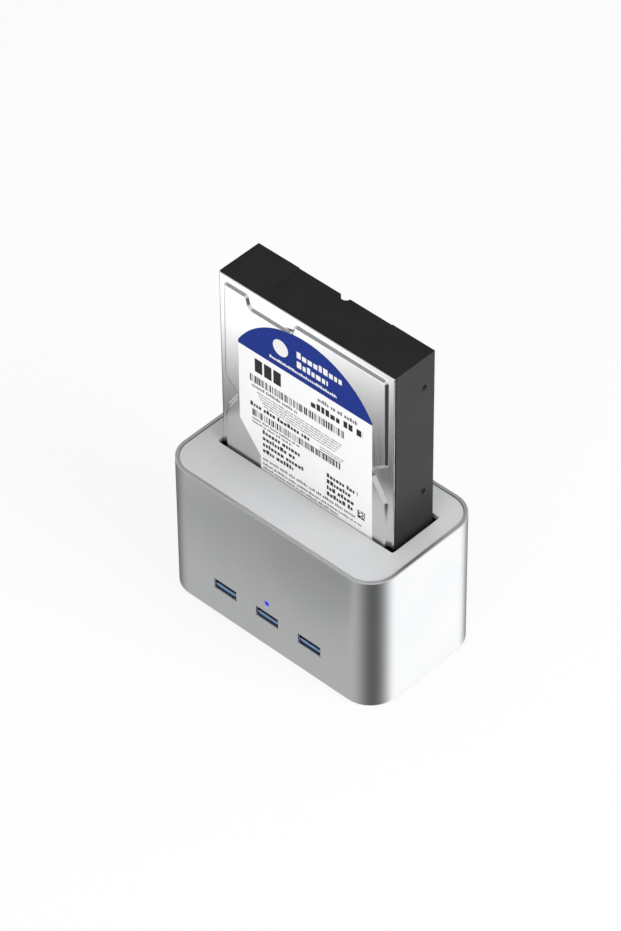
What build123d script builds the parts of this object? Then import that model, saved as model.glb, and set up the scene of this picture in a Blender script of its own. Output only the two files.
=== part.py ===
from build123d import *

import os
from math import acos, atan2, cos, degrees, hypot, radians, sin, tan

# A desktop docking station with a 3.5 inch hard drive standing in it.
# X runs to the right along the front, Y to the back and Z up. The origin is
# the middle of the underside of the rubber feet. Every length is in millimetres.

# Case sleeve, drawn round the slot for the drive
shoulder_side = 10.95
shoulder_front = 24.5
shoulder_back = 15.6
case_height = 75.0
case_corner = 14.5
case_wall = 2.8
rim_wall = 1.7
edge_break = 0.3

# Plates that close the sleeve
plate_drop = 0.35
plate_thickness = 2.4
plate_gap = 0.1
base_thickness = 2.0
foot_proud = 1.0
foot_inset = 0.6
foot_radius = 5.0
foot_inset_x = 15.0
foot_inset_y = 21.0
vent_count = 9
vent_width = 2.0
vent_length = 22.0
vent_pitch = 6.0

# Standard hard drive
drive_width = 101.6
drive_length = 147.0
drive_thickness = 26.1
cover_sheet = 0.8
cover_inset = 0.3
plateau_rise = 1.3
plateau_run = 1.2
plateau_corner = 2.0
label_sheet = 0.15

# Bay that the drive stands in
bay_side_gap = 1.25
bay_front_gap = 0.8
bay_back_gap = 3.0
slot_corner = 1.0
drive_rise = 25.9
well_wall = 1.6
well_floor = 1.7
well_relief = 0.2
flange_thickness = 1.6
flange_gap = 0.3

# Posts, bosses and screws
post_radius = 3.5
post_corner_x = 13.0
post_corner_y = 10.0
post_rib = 1.6
boss_radius = 3.0
boss_inset_x = 5.0
boss_inset_y = 5.0
screw_gap = 0.1
base_screw_radius = 1.5
base_screw_length = 8.0
base_screw_head = 2.8
small_screw_radius = 1.2
small_screw_head = 2.4
small_screw_head_height = 1.2
plate_screw_depth = 1.6
board_screw_depth = 2.6
plate_screw_spacing = 60.0

# Boards
board_thickness = 1.6
board_gap = 0.5
board_post_gap = 0.6

# Front sockets and lamp
port_pitch = 25.4
port_height = 17.8
port_inner_width = 12.5
port_inner_height = 4.9
port_metal = 0.3
port_length = 14.5
port_gap = 0.15
port_setback = 0.3
tongue_width = 11.1
tongue_thickness = 1.84
tongue_lift = 0.66
tongue_setback = 0.2
tongue_chamfer = 0.35
insert_block = 5.0
blade_thickness = 0.1
blade_width = 1.0
blade_length = 6.0
blade_pitch_inner = 2.0
blade_pitch_outer = 7.0
fast_blade_width = 0.6
fast_blade_length = 1.6
fast_blade_pitch = 2.0
fast_blade_count = 5
blade_margin = 0.6
lamp_height = 26.4
lamp_radius = 1.5
lamp_gap = 0.1
lamp_chip_width = 3.2
lamp_chip_depth = 2.8
lamp_chip_height = 0.9
lamp_leg = 0.5

# Upright drive socket and the plug that it takes
connector_offset = 20.68
connector_setback = 3.5
contact_pitch = 1.27
signal_contacts = 7
power_contacts = 15
signal_tongue = 10.4
power_tongue = 20.6
tongue_space = 2.4
blade_plate = 1.2
key_leg = 1.3
mating_gap = 0.35
slot_clearance = 0.4
nose_wall = 1.1
nose_height = 5.4
tongue_tip = 0.6
socket_shoulder = 2.5
socket_flange = 0.6
seat_relief = 0.4
plug_wall = 0.9
plug_body = 8.3
plug_recess = 0.3
contact_width = 0.7
contact_proud = 0.15
pad_proud = 0.1
pad_length = 4.0

# Rear sockets and switch
rear_pitch = 27.0
rear_setback = 0.3
square_shell_width = 12.0
square_shell_height = 10.9
square_shell_length = 17.5
square_shell_metal = 0.4
square_mouth_width = 8.6
square_mouth_height = 7.6
square_mouth_bevel = 1.8
square_bump_width = 6.4
square_bump_height = 2.0
square_tongue_width = 5.6
square_tongue_height = 3.2
square_tongue_length = 9.0
inlet_width = 9.0
inlet_height = 11.0
inlet_length = 14.2
inlet_nose = 4.0
inlet_bore = 3.1
inlet_depth = 9.5
inlet_pin = 1.05
inlet_pin_setback = 1.5
rocker_half = 5.0
rocker_height = 6.6
rocker_front = 2.4
rocker_back = 2.0
rocker_tilt_angle = 8.0
rocker_gap = 0.3
rocker_flush = 0.5
rocker_axle = 0.8
rocker_axle_gap = 0.05
rocker_axle_length = 0.6
switch_wall = 1.1
switch_depth = 12.5
switch_bezel = 0.8
switch_bezel_lip = 0.9
switch_pin_width = 0.8
switch_pin_pitch = 3.0

# Parts on the main board
bridge_side = 9.0
hub_side = 7.0
chip_height = 1.0
coil_side = 7.0
coil_height = 4.0
can_radius = 3.15
can_height = 7.7
can_pitch = 9.0
can_count = 3
crystal_length = 5.0
crystal_width = 3.2
crystal_height = 1.2

# Inside the drive
cavity_depth = 15.2
platter_radius = 47.5
platter_thickness = 1.2
platter_gap = 2.4
platter_front_gap = 3.1
platter_clearance = 0.8
spindle_drop = 53.0
lower_cavity_half = 44.6
lower_cavity_top = 24.0
lower_cavity_floor = 15.0
lower_cavity_corner = 7.0
gasket_width = 1.2
gasket_thickness = 0.5
hub_radius = 12.5
hub_flange = 15.5
hub_flange_thickness = 2.0
hub_skirt = 5.0
hub_crown = 2.0
hub_wall = 3.1
motor_base_radius = 13.6
motor_base_setback = 0.5
motor_base_bevel = 0.5
motor_dimple_radius = 3.2
motor_dimple_depth = 0.6
motor_gap = 0.4
shaft_radius = 2.5
shaft_gap = 0.05
shaft_stand = 0.2
clamp_thickness = 1.0
clamp_bore = 3.3
clamp_screw_count = 6
clamp_screw_circle = 7.5
clamp_screw_radius = 0.9
clamp_screw_head = 1.3
clamp_screw_head_height = 0.6
clamp_screw_depth = 1.3

pivot_offset_x = 19.0
pivot_offset_z = 53.0
pivot_radius = 3.0
pivot_gap = 0.05
pivot_flange_radius = 5.0
pivot_flange_height = 1.0
bearing_radius = 5.5
arm_block_radius = 8.0
arm_shortfall = 5.8
arm_root = 12.0
arm_tip = 3.0
arm_thickness = 0.9
arm_hole_radius = 2.6
arm_hole_place = 17.0
head_size = 1.4
head_gap = 0.3
tab_length = 2.2
park_clearance = 2.8
coil_inner = 10.0
coil_outer = 22.5
coil_angle = 34.0
fork_angle = 4.0
coil_ring = 3.4
coil_thickness = 2.0
coil_gap = 0.6
magnet_inner = 11.0
magnet_outer = 24.0
magnet_thickness = 1.0
yoke_thickness = 1.5
yoke_start_angle = 24.0
yoke_sweep_angle = -106.0
yoke_post_radius = 2.0
yoke_margin = 0.3
yoke_margin_angle = 1.5
ramp_lead_angle = 1.4
ramp_sweep_angle = 8.0
ramp_inner = 1.2
ramp_outer = 3.6
ramp_clearance = 0.4
ramp_wall = 0.75
filter_width = 12.0
filter_height = 8.0
filter_thickness = 6.0

# Outside of the drive
end_step_depth = 0.4
end_step_setback = 7.6
notch_width = 5.4
notch_depth = 2.3
notch_length = 9.0
side_hole_radius = 1.35
side_hole_depth = 4.5
side_hole_setback = 6.35
side_hole_first = 28.5
side_hole_second = 70.1
side_hole_third = 130.1
face_hole_spacing = 95.25
face_hole_first = 41.28
face_hole_step = 44.45
face_hole_depth = 5.0
drive_board_thickness = 1.2
drive_board_recess = 0.6
drive_board_half = 43.5
drive_board_height = 64.0
drive_board_margin = 1.0
drive_board_step = 14.0
drive_board_step_half = 12.0
drive_board_corner = 2.0
recess_gap = 0.6
recess_depth = 4.0
back_rail = 7.0
back_end_rail = 11.0
back_board_rail = 1.6
back_corner = 5.0
back_recess_depth = 1.6
pocket_wall = 2.4
pocket_depth = 4.6
pocket_corner = 2.5
motor_pad_radius = 31.0
motor_pad_depth = 0.7
motor_pocket_gap = 0.4
motor_pocket_depth = 1.9
motor_flange_radius = 18.0
motor_flange_thickness = 0.8
drive_screw_radius = 1.0
drive_screw_head = 2.2
drive_screw_head_height = 0.5
drive_screw_depth = 2.5
drive_screw_inset = 3.5
cover_screw_head_height = 0.7
cover_screw_inset = 3.4
cover_screw_rise = 22.0
drive_chip_side = 12.0
drive_chip_pitch = 22.0

# How far a cut runs past the face that it opens
overrun = 2.0

# Half width of the shallow step in the drive's end: a share of the drive's width
end_step_share = 0.264

# Outline of the cover's raised plateau: shares of the half width across and of
# the drive's length down from its far end, going round from the upper left.
plateau_shares = [
    (-0.935, 0.022),
    (-0.655, 0.022),
    (-0.625, 0.062),
    (-0.150, 0.062),
    (-0.115, 0.022),
    (0.935, 0.022),
    (0.935, 0.352),
    (0.785, 0.392),
    (0.775, 0.418),
    (0.935, 0.500),
    (0.935, 0.680),
    (0.830, 0.735),
    (0.830, 0.930),
    (-0.830, 0.930),
    (-0.830, 0.735),
    (-0.950, 0.680),
    (-0.950, 0.545),
    (-0.920, 0.505),
    (-0.795, 0.438),
    (-0.945, 0.385),
]

# The label's outline follows the round bay: shares of the half width across and
# of the drive's length down from its far end.
label_left_share = -0.762
label_right_share = 0.772
label_radius_share = 0.878
label_waist_share = 0.517
label_hip_share = 0.622
label_low_left_share = -0.522
label_end_share = 0.870

# The case's outside, from the drive, the gaps round it and the shoulders
case_width = drive_width + 2 * (bay_side_gap + shoulder_side)
bay_depth = bay_front_gap + drive_thickness + bay_back_gap
case_depth = shoulder_front + bay_depth + shoulder_back

# Heights and depths that follow from the sizes above
case_floor = foot_proud
case_top = case_floor + case_height
case_front = -case_depth / 2
case_back = case_depth / 2
plate_top = case_top - plate_drop
plate_bottom = plate_top - plate_thickness
flange_bottom = plate_bottom - flange_thickness
base_top = case_floor + base_thickness
inner_half_x = case_width / 2 - case_wall
inner_half_y = case_depth / 2 - case_wall
inner_corner = case_corner - case_wall
rebate_half_x = case_width / 2 - rim_wall
rebate_half_y = case_depth / 2 - rim_wall
rebate_corner = case_corner - rim_wall

slot_front = case_front + shoulder_front
slot_back = slot_front + bay_depth
drive_front = slot_front + bay_front_gap
drive_back = drive_front + drive_thickness
slot_half = drive_width / 2 + bay_side_gap
slot_middle = (slot_front + slot_back) / 2
well_half = slot_half + well_relief
well_front = slot_front - well_relief
well_back = slot_back + well_relief
seat = case_floor + drive_rise
drive_top = seat + drive_length
floor_bottom = seat - well_floor

port_middle = case_floor + port_height
shell_half_x = port_inner_width / 2 + port_metal
shell_half_z = port_inner_height / 2 + port_metal
board_bottom = port_middle + shell_half_z
board_top = board_bottom + board_thickness
board_half_x = inner_half_x - board_gap
board_half_y = inner_half_y - board_gap
port_places = {"left": -port_pitch, "middle": 0, "right": port_pitch}

post_x = case_width / 2 - post_corner_x
post_y = case_depth / 2 - post_corner_y
post_places = [(x, y) for x in (-post_x, post_x) for y in (-post_y, post_y)]
boss_x = well_half - boss_inset_x
boss_places = [
    (x, y)
    for x in (-boss_x, boss_x)
    for y in (well_front + boss_inset_y, well_back - boss_inset_y)
]
foot_x = case_width / 2 - foot_inset_x
foot_y = case_depth / 2 - foot_inset_y
foot_places = [(x, y) for x in (-foot_x, foot_x) for y in (-foot_y, foot_y)]
plate_screw_front = (well_front - well_wall - inner_half_y) / 2
plate_screw_back = (well_back + well_wall + inner_half_y) / 2
plate_screw_places = [
    (x, y)
    for x in (-plate_screw_spacing / 2, plate_screw_spacing / 2)
    for y in (plate_screw_front, plate_screw_back)
]

# The drive's own levels along Y, from its cover at the front to its board at the back
cover_face = drive_front + plateau_rise
mate_face = cover_face + cover_sheet
cavity_back = mate_face + cavity_depth
platter_one = mate_face + platter_front_gap
platter_two = platter_one + platter_thickness + platter_gap
stack_end = platter_two + platter_thickness
arm_levels = [
    platter_one - platter_gap / 2,
    platter_one + platter_thickness + platter_gap / 2,
    stack_end + platter_gap / 2,
]
spindle_z = drive_top - spindle_drop
pivot_x = pivot_offset_x
pivot_z = spindle_z - pivot_offset_z
pivot_distance = hypot(pivot_offset_x, pivot_offset_z)
pivot_line = degrees(atan2(pivot_offset_z, -pivot_offset_x))
arm_length = pivot_distance - arm_shortfall
park_reach = platter_radius + park_clearance
park_squares = arm_length**2 + pivot_distance**2 - park_reach**2
park_angle = pivot_line + degrees(acos(park_squares / (2 * arm_length * pivot_distance)))
ramp_start_angle = park_angle - ramp_lead_angle
recess_back = drive_back - recess_depth
drive_board_back = drive_back - drive_board_recess
drive_board_front = drive_board_back - drive_board_thickness

# The drive's connector
connector_x = -connector_offset
connector_y = drive_back - connector_setback
tongue_span = signal_tongue + tongue_space + power_tongue
slot_reach = blade_plate / 2 + slot_clearance
nose_half = tongue_span / 2 + slot_clearance + nose_wall
nose_back = slot_reach + nose_wall
nose_front = blade_plate / 2 + key_leg + slot_clearance + nose_wall / 2
mouth_half = nose_half + mating_gap
mouth_back = nose_back + mating_gap
mouth_front = nose_front + mating_gap
mouth_depth = nose_height + mating_gap
plug_half = mouth_half + plug_wall

# The rocker switch at the back
rear_places = {"switch": -rear_pitch, "square": 0, "inlet": rear_pitch}
rear_middle = board_bottom - inlet_height / 2
rocker_reach = hypot(rocker_half, rocker_front)
rocker_crease = rocker_front - rocker_half * tan(radians(rocker_tilt_angle))
bezel_face = case_back + switch_bezel
rocker_pivot_y = bezel_face - rocker_flush - rocker_crease * cos(radians(rocker_tilt_angle))
switch_half_x = rocker_reach + rocker_gap + switch_wall
switch_half_z = rocker_height / 2 + rocker_gap + switch_wall


def block(x_low, x_high, y_low, y_high, z_low, z_high):
    """A box between two corners."""
    middle = ((x_low + x_high) / 2, (y_low + y_high) / 2, (z_low + z_high) / 2)
    return Pos(*middle) * Box(x_high - x_low, y_high - y_low, z_high - z_low)


def post(x, y, z_low, z_high, radius):
    """An upright round bar."""
    return Pos(x, y, (z_low + z_high) / 2) * Cylinder(radius, z_high - z_low)


def slab(outline, z_low, z_high):
    """An outline in X and Y raised between two heights."""
    return extrude(Pos(0, 0, z_low) * outline, z_high - z_low, dir=(0, 0, 1))


def plate(outline, y_low, y_high, x=0, z=0):
    """An outline in X and Z, about a point, filled between two depths."""
    plane = Plane(origin=(x, y_high, z), x_dir=(1, 0, 0), z_dir=(0, -1, 0))
    return extrude(plane * outline, y_high - y_low, dir=(0, -1, 0))


def disc(x, z, y_low, y_high, radius):
    """A round bar that runs from front to back."""
    return plate(Circle(radius), y_low, y_high, x, z)


def ring(x, z, y_low, y_high, outer, inner):
    """A flat ring that faces the front."""
    return plate(Circle(outer) - Circle(inner), y_low, y_high, x, z)


def sector(inner, outer, start, sweep):
    """A piece of a ring between two angles."""
    far = CenterArc((0, 0), outer, start, sweep)
    near = CenterArc((0, 0), inner, start, sweep)
    first = Line(far @ 0, near @ 0)
    last = Line(far @ 1, near @ 1)
    return make_face([far, near, first, last])


def rounded(half_x, half_y, radius):
    """A rounded rectangle about the origin."""
    return RectangleRounded(2 * half_x, 2 * half_y, radius)


def gather(solids):
    """Separate solids of one kind kept as one group."""
    return Compound(children=list(solids))


# Dock body


def outer_case():
    """The extruded sleeve with a stepped seat for each plate and its cut-outs."""
    outline = rounded(case_width / 2, case_depth / 2, case_corner)
    sleeve = slab(outline, case_floor, case_top)
    rims = sleeve.faces().sort_by(Axis.Z)[-1].edges() + sleeve.faces().sort_by(Axis.Z)[0].edges()
    sleeve = chamfer(rims, edge_break)
    bore = rounded(inner_half_x, inner_half_y, inner_corner)
    rebate = rounded(rebate_half_x, rebate_half_y, rebate_corner)
    sleeve -= slab(bore, case_floor - overrun, case_top + overrun)
    sleeve -= slab(rebate, plate_bottom, case_top + overrun)
    sleeve -= slab(rebate, case_floor - overrun, base_top)
    wall_front = case_front - overrun
    wall_inside = case_front + case_wall + overrun
    for x in port_places.values():
        half_x = shell_half_x + port_gap
        half_z = shell_half_z + port_gap
        sleeve -= block(
            x - half_x, x + half_x, wall_front, wall_inside, port_middle - half_z, port_middle + half_z
        )
    lamp_z = case_floor + lamp_height
    sleeve -= disc(0, lamp_z, wall_front, wall_inside, lamp_radius + lamp_gap)
    back_inside = case_back - case_wall - overrun
    back_outside = case_back + overrun
    square_x = rear_places["square"]
    square_z = board_bottom - square_shell_height / 2
    square_half_x = square_shell_width / 2 + port_gap
    square_half_z = square_shell_height / 2 + port_gap
    sleeve -= block(
        square_x - square_half_x,
        square_x + square_half_x,
        back_inside,
        back_outside,
        square_z - square_half_z,
        square_z + square_half_z,
    )
    sleeve -= disc(rear_places["inlet"], rear_middle, back_inside, back_outside, inlet_nose + port_gap)
    switch_x = rear_places["switch"]
    cut_x = switch_half_x + port_gap
    cut_z = switch_half_z + port_gap
    sleeve -= block(
        switch_x - cut_x,
        switch_x + cut_x,
        back_inside,
        back_outside,
        rear_middle - cut_z,
        rear_middle + cut_z,
    )
    return sleeve


def top_plate():
    """The plate in the top of the sleeve, with the slot for the drive."""
    outline = rounded(rebate_half_x - plate_gap, rebate_half_y - plate_gap, rebate_corner - plate_gap)
    lid = slab(outline, plate_bottom, plate_top)
    slot = Pos(0, slot_middle) * rounded(slot_half, (slot_back - slot_front) / 2, slot_corner)
    lid -= slab(slot, plate_bottom - overrun, plate_top + overrun)
    lid = chamfer(lid.faces().sort_by(Axis.Z)[-1].edges(), edge_break)
    for x, y in plate_screw_places:
        hole_top = plate_bottom + plate_screw_depth
        lid -= post(x, y, plate_bottom - overrun, hole_top, small_screw_radius + screw_gap)
    return lid


def drive_well():
    """The moulded well under the top plate, with its posts and bosses."""
    outline = rounded(inner_half_x - flange_gap, inner_half_y - flange_gap, inner_corner - flange_gap)
    well = slab(outline, flange_bottom, plate_bottom)
    outer_half = well_half + well_wall
    outer_front = well_front - well_wall
    outer_back = well_back + well_wall
    well += block(-outer_half, outer_half, outer_front, outer_back, floor_bottom, plate_bottom)
    rib_half = post_rib / 2
    for x, y in post_places:
        well += post(x, y, base_top, flange_bottom, post_radius)
        wall_y = outer_front if y < 0 else outer_back
        low_y, high_y = sorted((y, wall_y))
        well += block(x - rib_half, x + rib_half, low_y, high_y, floor_bottom, flange_bottom)
    for x, y in boss_places:
        well += post(x, y, board_top, floor_bottom, boss_radius)
    well -= block(-well_half, well_half, well_front, well_back, seat, plate_bottom + overrun)
    opening_half = nose_half + socket_shoulder + seat_relief
    opening_front = connector_y - nose_front - socket_flange - seat_relief
    opening_back = connector_y + nose_back + socket_flange + seat_relief
    well -= block(
        connector_x - opening_half,
        connector_x + opening_half,
        opening_front,
        opening_back,
        floor_bottom - overrun,
        seat + overrun,
    )
    for x, y in post_places:
        hole_top = case_floor + base_screw_length + overrun
        well -= post(x, y, base_top - overrun, hole_top, base_screw_radius + screw_gap)
    for x, y in boss_places:
        hole_top = board_top + board_screw_depth
        well -= post(x, y, board_top - overrun, hole_top, small_screw_radius + screw_gap)
    for x, y in plate_screw_places:
        well -= post(x, y, flange_bottom - overrun, plate_bottom + overrun, small_screw_radius + screw_gap)
    return well


def pan_screw(x, y, head_z, up_to):
    """A small pan-head screw driven upwards."""
    head = post(x, y, head_z - small_screw_head_height, head_z, small_screw_head)
    return head + post(x, y, head_z, up_to, small_screw_radius)


def well_screws():
    """Screws through the well's flange into the top plate."""
    tip = plate_bottom + plate_screw_depth - screw_gap
    return gather(pan_screw(x, y, flange_bottom, tip) for x, y in plate_screw_places)


def board_screws():
    """Screws through the main board into the well's bosses."""
    tip = board_top + board_screw_depth - screw_gap
    return gather(pan_screw(x, y, board_bottom, tip) for x, y in boss_places)


def base_plate():
    """The bottom plate with its vents, foot recesses and countersunk holes."""
    outline = rounded(rebate_half_x - plate_gap, rebate_half_y - plate_gap, rebate_corner - plate_gap)
    base = slab(outline, case_floor, base_top)
    first_vent = -vent_pitch * (vent_count - 1) / 2
    for index in range(vent_count):
        vent = Pos(first_vent + index * vent_pitch, 0) * SlotOverall(vent_length, vent_width, rotation=90)
        base -= slab(vent, case_floor - overrun, base_top + overrun)
    for x, y in foot_places:
        base -= post(x, y, case_floor - overrun, case_floor + foot_inset, foot_radius)
    sink_depth = base_screw_head - base_screw_radius
    for x, y in post_places:
        base -= post(x, y, case_floor - overrun, base_top + overrun, base_screw_radius + screw_gap)
        middle_z = case_floor + sink_depth / 2
        cone = Cone(base_screw_head + screw_gap, base_screw_radius + screw_gap, sink_depth)
        base -= Pos(x, y, middle_z) * cone
    return base


def base_screws():
    """Countersunk screws up through the base into the well's posts."""
    sink_depth = base_screw_head - base_screw_radius
    screws = []
    for x, y in post_places:
        head = Pos(x, y, case_floor + sink_depth / 2) * Cone(base_screw_head, base_screw_radius, sink_depth)
        shank_low = case_floor + sink_depth
        screws.append(head + post(x, y, shank_low, case_floor + base_screw_length, base_screw_radius))
    return gather(screws)


def rubber_feet():
    """Four round feet pressed into the base."""
    feet = []
    for x, y in foot_places:
        foot = post(x, y, 0, case_floor + foot_inset, foot_radius)
        feet.append(chamfer(foot.faces().sort_by(Axis.Z)[0].edges(), edge_break))
    return gather(feet)


# Main board and what it carries


def main_board():
    """The circuit board that hangs under the well."""
    board = slab(rounded(board_half_x, board_half_y, inner_corner - board_gap), board_bottom, board_top)
    for x, y in post_places:
        board -= post(x, y, board_bottom - overrun, board_top + overrun, post_radius + board_post_gap)
    for x, y in boss_places:
        board -= post(x, y, board_bottom - overrun, board_top + overrun, small_screw_radius + screw_gap)
    return board


def usb_shell(x):
    """The folded metal shell of one front socket."""
    front = case_front + port_setback
    back = front + port_length
    half_x = port_inner_width / 2
    half_z = port_inner_height / 2
    shell_low = port_middle - shell_half_z
    shell = block(x - shell_half_x, x + shell_half_x, front, back, shell_low, board_bottom)
    shell -= block(
        x - half_x, x + half_x, front - overrun, back - port_metal, port_middle - half_z, port_middle + half_z
    )
    return shell


def usb_tongue(x):
    """The insulator of one front socket: a block at the back and the tongue."""
    front = case_front + port_setback
    back = front + port_length - port_metal
    half_x = port_inner_width / 2
    floor_z = port_middle - port_inner_height / 2
    insert = block(x - half_x, x + half_x, back - insert_block, back, floor_z, floor_z + port_inner_height)
    low = floor_z + tongue_lift
    tongue = block(
        x - tongue_width / 2, x + tongue_width / 2, front + tongue_setback, back, low, low + tongue_thickness
    )
    nose = tongue.faces().sort_by(Axis.Y)[0].edges().filter_by(Axis.X)
    return insert + chamfer(nose, tongue_chamfer)


def usb_contacts():
    """Gold contacts on the upper face of each front socket's tongue."""
    front = case_front + port_setback + tongue_setback
    low = port_middle - port_inner_height / 2 + tongue_lift + tongue_thickness
    high = low + blade_thickness
    strips = []
    for x in port_places.values():
        first = front + blade_margin
        row_half = fast_blade_pitch * (fast_blade_count - 1) / 2
        for index in range(fast_blade_count):
            left = x - row_half + index * fast_blade_pitch - fast_blade_width / 2
            strips.append(block(left, left + fast_blade_width, first, first + fast_blade_length, low, high))
        second = first + fast_blade_length + blade_margin
        for pitch in (-blade_pitch_outer, -blade_pitch_inner, blade_pitch_inner, blade_pitch_outer):
            left = x + pitch / 2 - blade_width / 2
            strips.append(block(left, left + blade_width, second, second + blade_length, low, high))
    return gather(strips)


def lamp_places():
    """The light pipe's height and the middle of the lamp chip along Y."""
    lamp_z = case_floor + lamp_height
    chip_y = -board_half_y + lamp_chip_depth / 2 + lamp_leg
    return lamp_z, chip_y


def led_light_pipe():
    """A clear rod through the front wall that bends down to the lamp."""
    lamp_z, chip_y = lamp_places()
    back = chip_y + lamp_chip_depth / 2
    pipe = disc(0, lamp_z, case_front, back, lamp_radius)
    foot_low = board_top + lamp_chip_height + lamp_gap
    half_x = lamp_chip_width / 2
    foot_front = chip_y - lamp_chip_depth / 2
    pipe += block(-half_x, half_x, foot_front, back, foot_low, lamp_z + lamp_radius)
    corner = pipe.edges().filter_by(Axis.X).sort_by(Axis.Y)[-2:].sort_by(Axis.Z)[-1:]
    pipe = chamfer(corner, lamp_radius)
    for side in (-1, 1):
        inner = side * (half_x + lamp_gap)
        outer = inner + side * lamp_leg
        low_x, high_x = sorted((inner, outer))
        pipe += block(low_x, high_x, foot_front, back, board_top, lamp_z)
        low_x, high_x = sorted((0, outer))
        pipe += block(low_x, high_x, foot_front, back, lamp_z - lamp_leg, lamp_z)
    return pipe


def led_chip():
    """The surface-mounted lamp under the light pipe."""
    chip_y = lamp_places()[1]
    half_x = lamp_chip_width / 2
    half_y = lamp_chip_depth / 2
    return block(-half_x, half_x, chip_y - half_y, chip_y + half_y, board_top, board_top + lamp_chip_height)


def tongue_layout():
    """Left edge, width and contact count of the two tongues, along X."""
    left = connector_x - tongue_span / 2
    power = (left, power_tongue, power_contacts)
    signal = (left + power_tongue + tongue_space, signal_tongue, signal_contacts)
    return [power, signal]


def keyed_tongue(left, width, grow, z_low, z_high):
    """The L-shaped section of one tongue, grown all round for its slot."""
    half = blade_plate / 2 + grow
    section = block(left - grow, left + width + grow, connector_y - half, connector_y + half, z_low, z_high)
    leg_front = connector_y - blade_plate / 2 - key_leg - grow
    section += block(left - grow, left + blade_plate + grow, leg_front, connector_y, z_low, z_high)
    return section


def contact_row(left, width, count, thickness, y_low, z_low, z_high):
    """Evenly spaced contact strips in the middle of one tongue."""
    first = left + (width - contact_pitch * (count - 1)) / 2 + blade_plate / 2
    half = contact_width / 2
    row = []
    for index in range(count):
        x = first + index * contact_pitch
        row.append(block(x - half, x + half, y_low, y_low + thickness, z_low, z_high))
    return row


def sata_socket():
    """The upright socket on the main board that the drive's plug drops onto."""
    half = nose_half + socket_shoulder
    front = connector_y - nose_front - socket_flange
    back = connector_y + nose_back + socket_flange
    socket = block(connector_x - half, connector_x + half, front, back, board_top, seat - seat_relief)
    socket += block(
        connector_x - nose_half,
        connector_x + nose_half,
        connector_y - nose_front,
        connector_y + nose_back,
        seat - seat_relief,
        seat + nose_height,
    )
    slot_low = seat + tongue_tip - slot_clearance
    for left, width, count in tongue_layout():
        socket -= keyed_tongue(left, width, slot_clearance, slot_low, seat + nose_height + overrun)
    return socket


def sata_socket_contacts():
    """The contact strips on the back wall of the socket's two slots."""
    strips = []
    slot_wall = connector_y + slot_reach
    low = seat + tongue_tip - slot_clearance
    for left, width, count in tongue_layout():
        high = seat + nose_height - contact_proud
        strips += contact_row(left, width, count, contact_proud, slot_wall - contact_proud, low, high)
    return gather(strips)


def bridge_chip():
    """The storage bridge chip under the board."""
    half = bridge_side / 2
    y = slot_middle
    return block(
        connector_x - half, connector_x + half, y - half, y + half, board_bottom - chip_height, board_bottom
    )


def hub_chip():
    """The hub chip behind the front sockets."""
    half = hub_side / 2
    y = case_front + port_setback + port_length + hub_side
    return block(-half, half, y - half, y + half, board_bottom - chip_height, board_bottom)


def power_inductor():
    """The moulded coil of the power supply."""
    half = coil_side / 2
    x = rear_places["inlet"]
    y = case_back - inlet_length - coil_side - case_wall
    coil = block(x - half, x + half, y - half, y + half, board_bottom - coil_height, board_bottom)
    return chamfer(coil.edges().filter_by(Axis.Z), coil_side / 8)


def capacitors():
    """Upright cans in a row in front of the well."""
    y = (well_front - well_wall - inner_half_y) / 2
    cans = []
    for index in range(can_count):
        x = post_x - can_pitch - (index + 1) * can_pitch
        can = post(x, y, board_top, board_top + can_height, can_radius)
        cans.append(chamfer(can.faces().sort_by(Axis.Z)[-1].edges(), can_radius / 8))
    return gather(cans)


def crystal():
    """The small metal crystal beside the bridge chip."""
    x = connector_x + bridge_side
    y = slot_middle
    half_x = crystal_width / 2
    half_y = crystal_length / 2
    return block(x - half_x, x + half_x, y - half_y, y + half_y, board_bottom - crystal_height, board_bottom)


# Sockets and switch at the back


def square_outline(grow):
    """The mouth of the square socket, a bevelled square with a narrower bump below."""
    half = square_mouth_width / 2 + grow
    top = square_mouth_height / 2 + square_bump_height / 2 + grow
    bump_half = square_bump_width / 2 + grow
    bump_low = -square_mouth_height / 2 - square_bump_height / 2 - grow
    shoulder = -square_mouth_height / 2 + square_bump_height / 2 - grow
    bevel = square_mouth_bevel
    return Polygon(
        (-half, top),
        (half, top),
        (half, shoulder + bevel),
        (bump_half, shoulder),
        (bump_half, bump_low),
        (-bump_half, bump_low),
        (-bump_half, shoulder),
        (-half, shoulder + bevel),
        align=None,
    )


def rear_usb_shell():
    """The metal shell of the square socket at the back."""
    x = rear_places["square"]
    z = board_bottom - square_shell_height / 2
    back = case_back - rear_setback
    front = back - square_shell_length
    half_x = square_shell_width / 2
    half_z = square_shell_height / 2
    shell = block(x - half_x, x + half_x, front, back, z - half_z, z + half_z)
    shell -= plate(square_outline(0), front + square_shell_metal, back + overrun, x, z)
    return shell


def rear_usb_insert():
    """The insulator of the square socket, with its two tongues."""
    x = rear_places["square"]
    z = board_bottom - square_shell_height / 2
    back = case_back - rear_setback
    start = back - square_shell_length + square_shell_metal
    root = back - square_tongue_length - square_shell_metal
    insert = plate(square_outline(0), start, root, x, z)
    half = square_tongue_width / 2
    middle = z + square_bump_height / 2
    tall = square_tongue_height / 2
    insert += block(x - half, x + half, start, back - square_shell_metal, middle - tall, middle + tall)
    bump_middle = z - square_mouth_height / 2
    thin = square_bump_height / 4
    insert += block(
        x - half + thin,
        x + half - thin,
        start,
        back - square_shell_metal,
        bump_middle - thin,
        bump_middle + thin,
    )
    return insert


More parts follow.
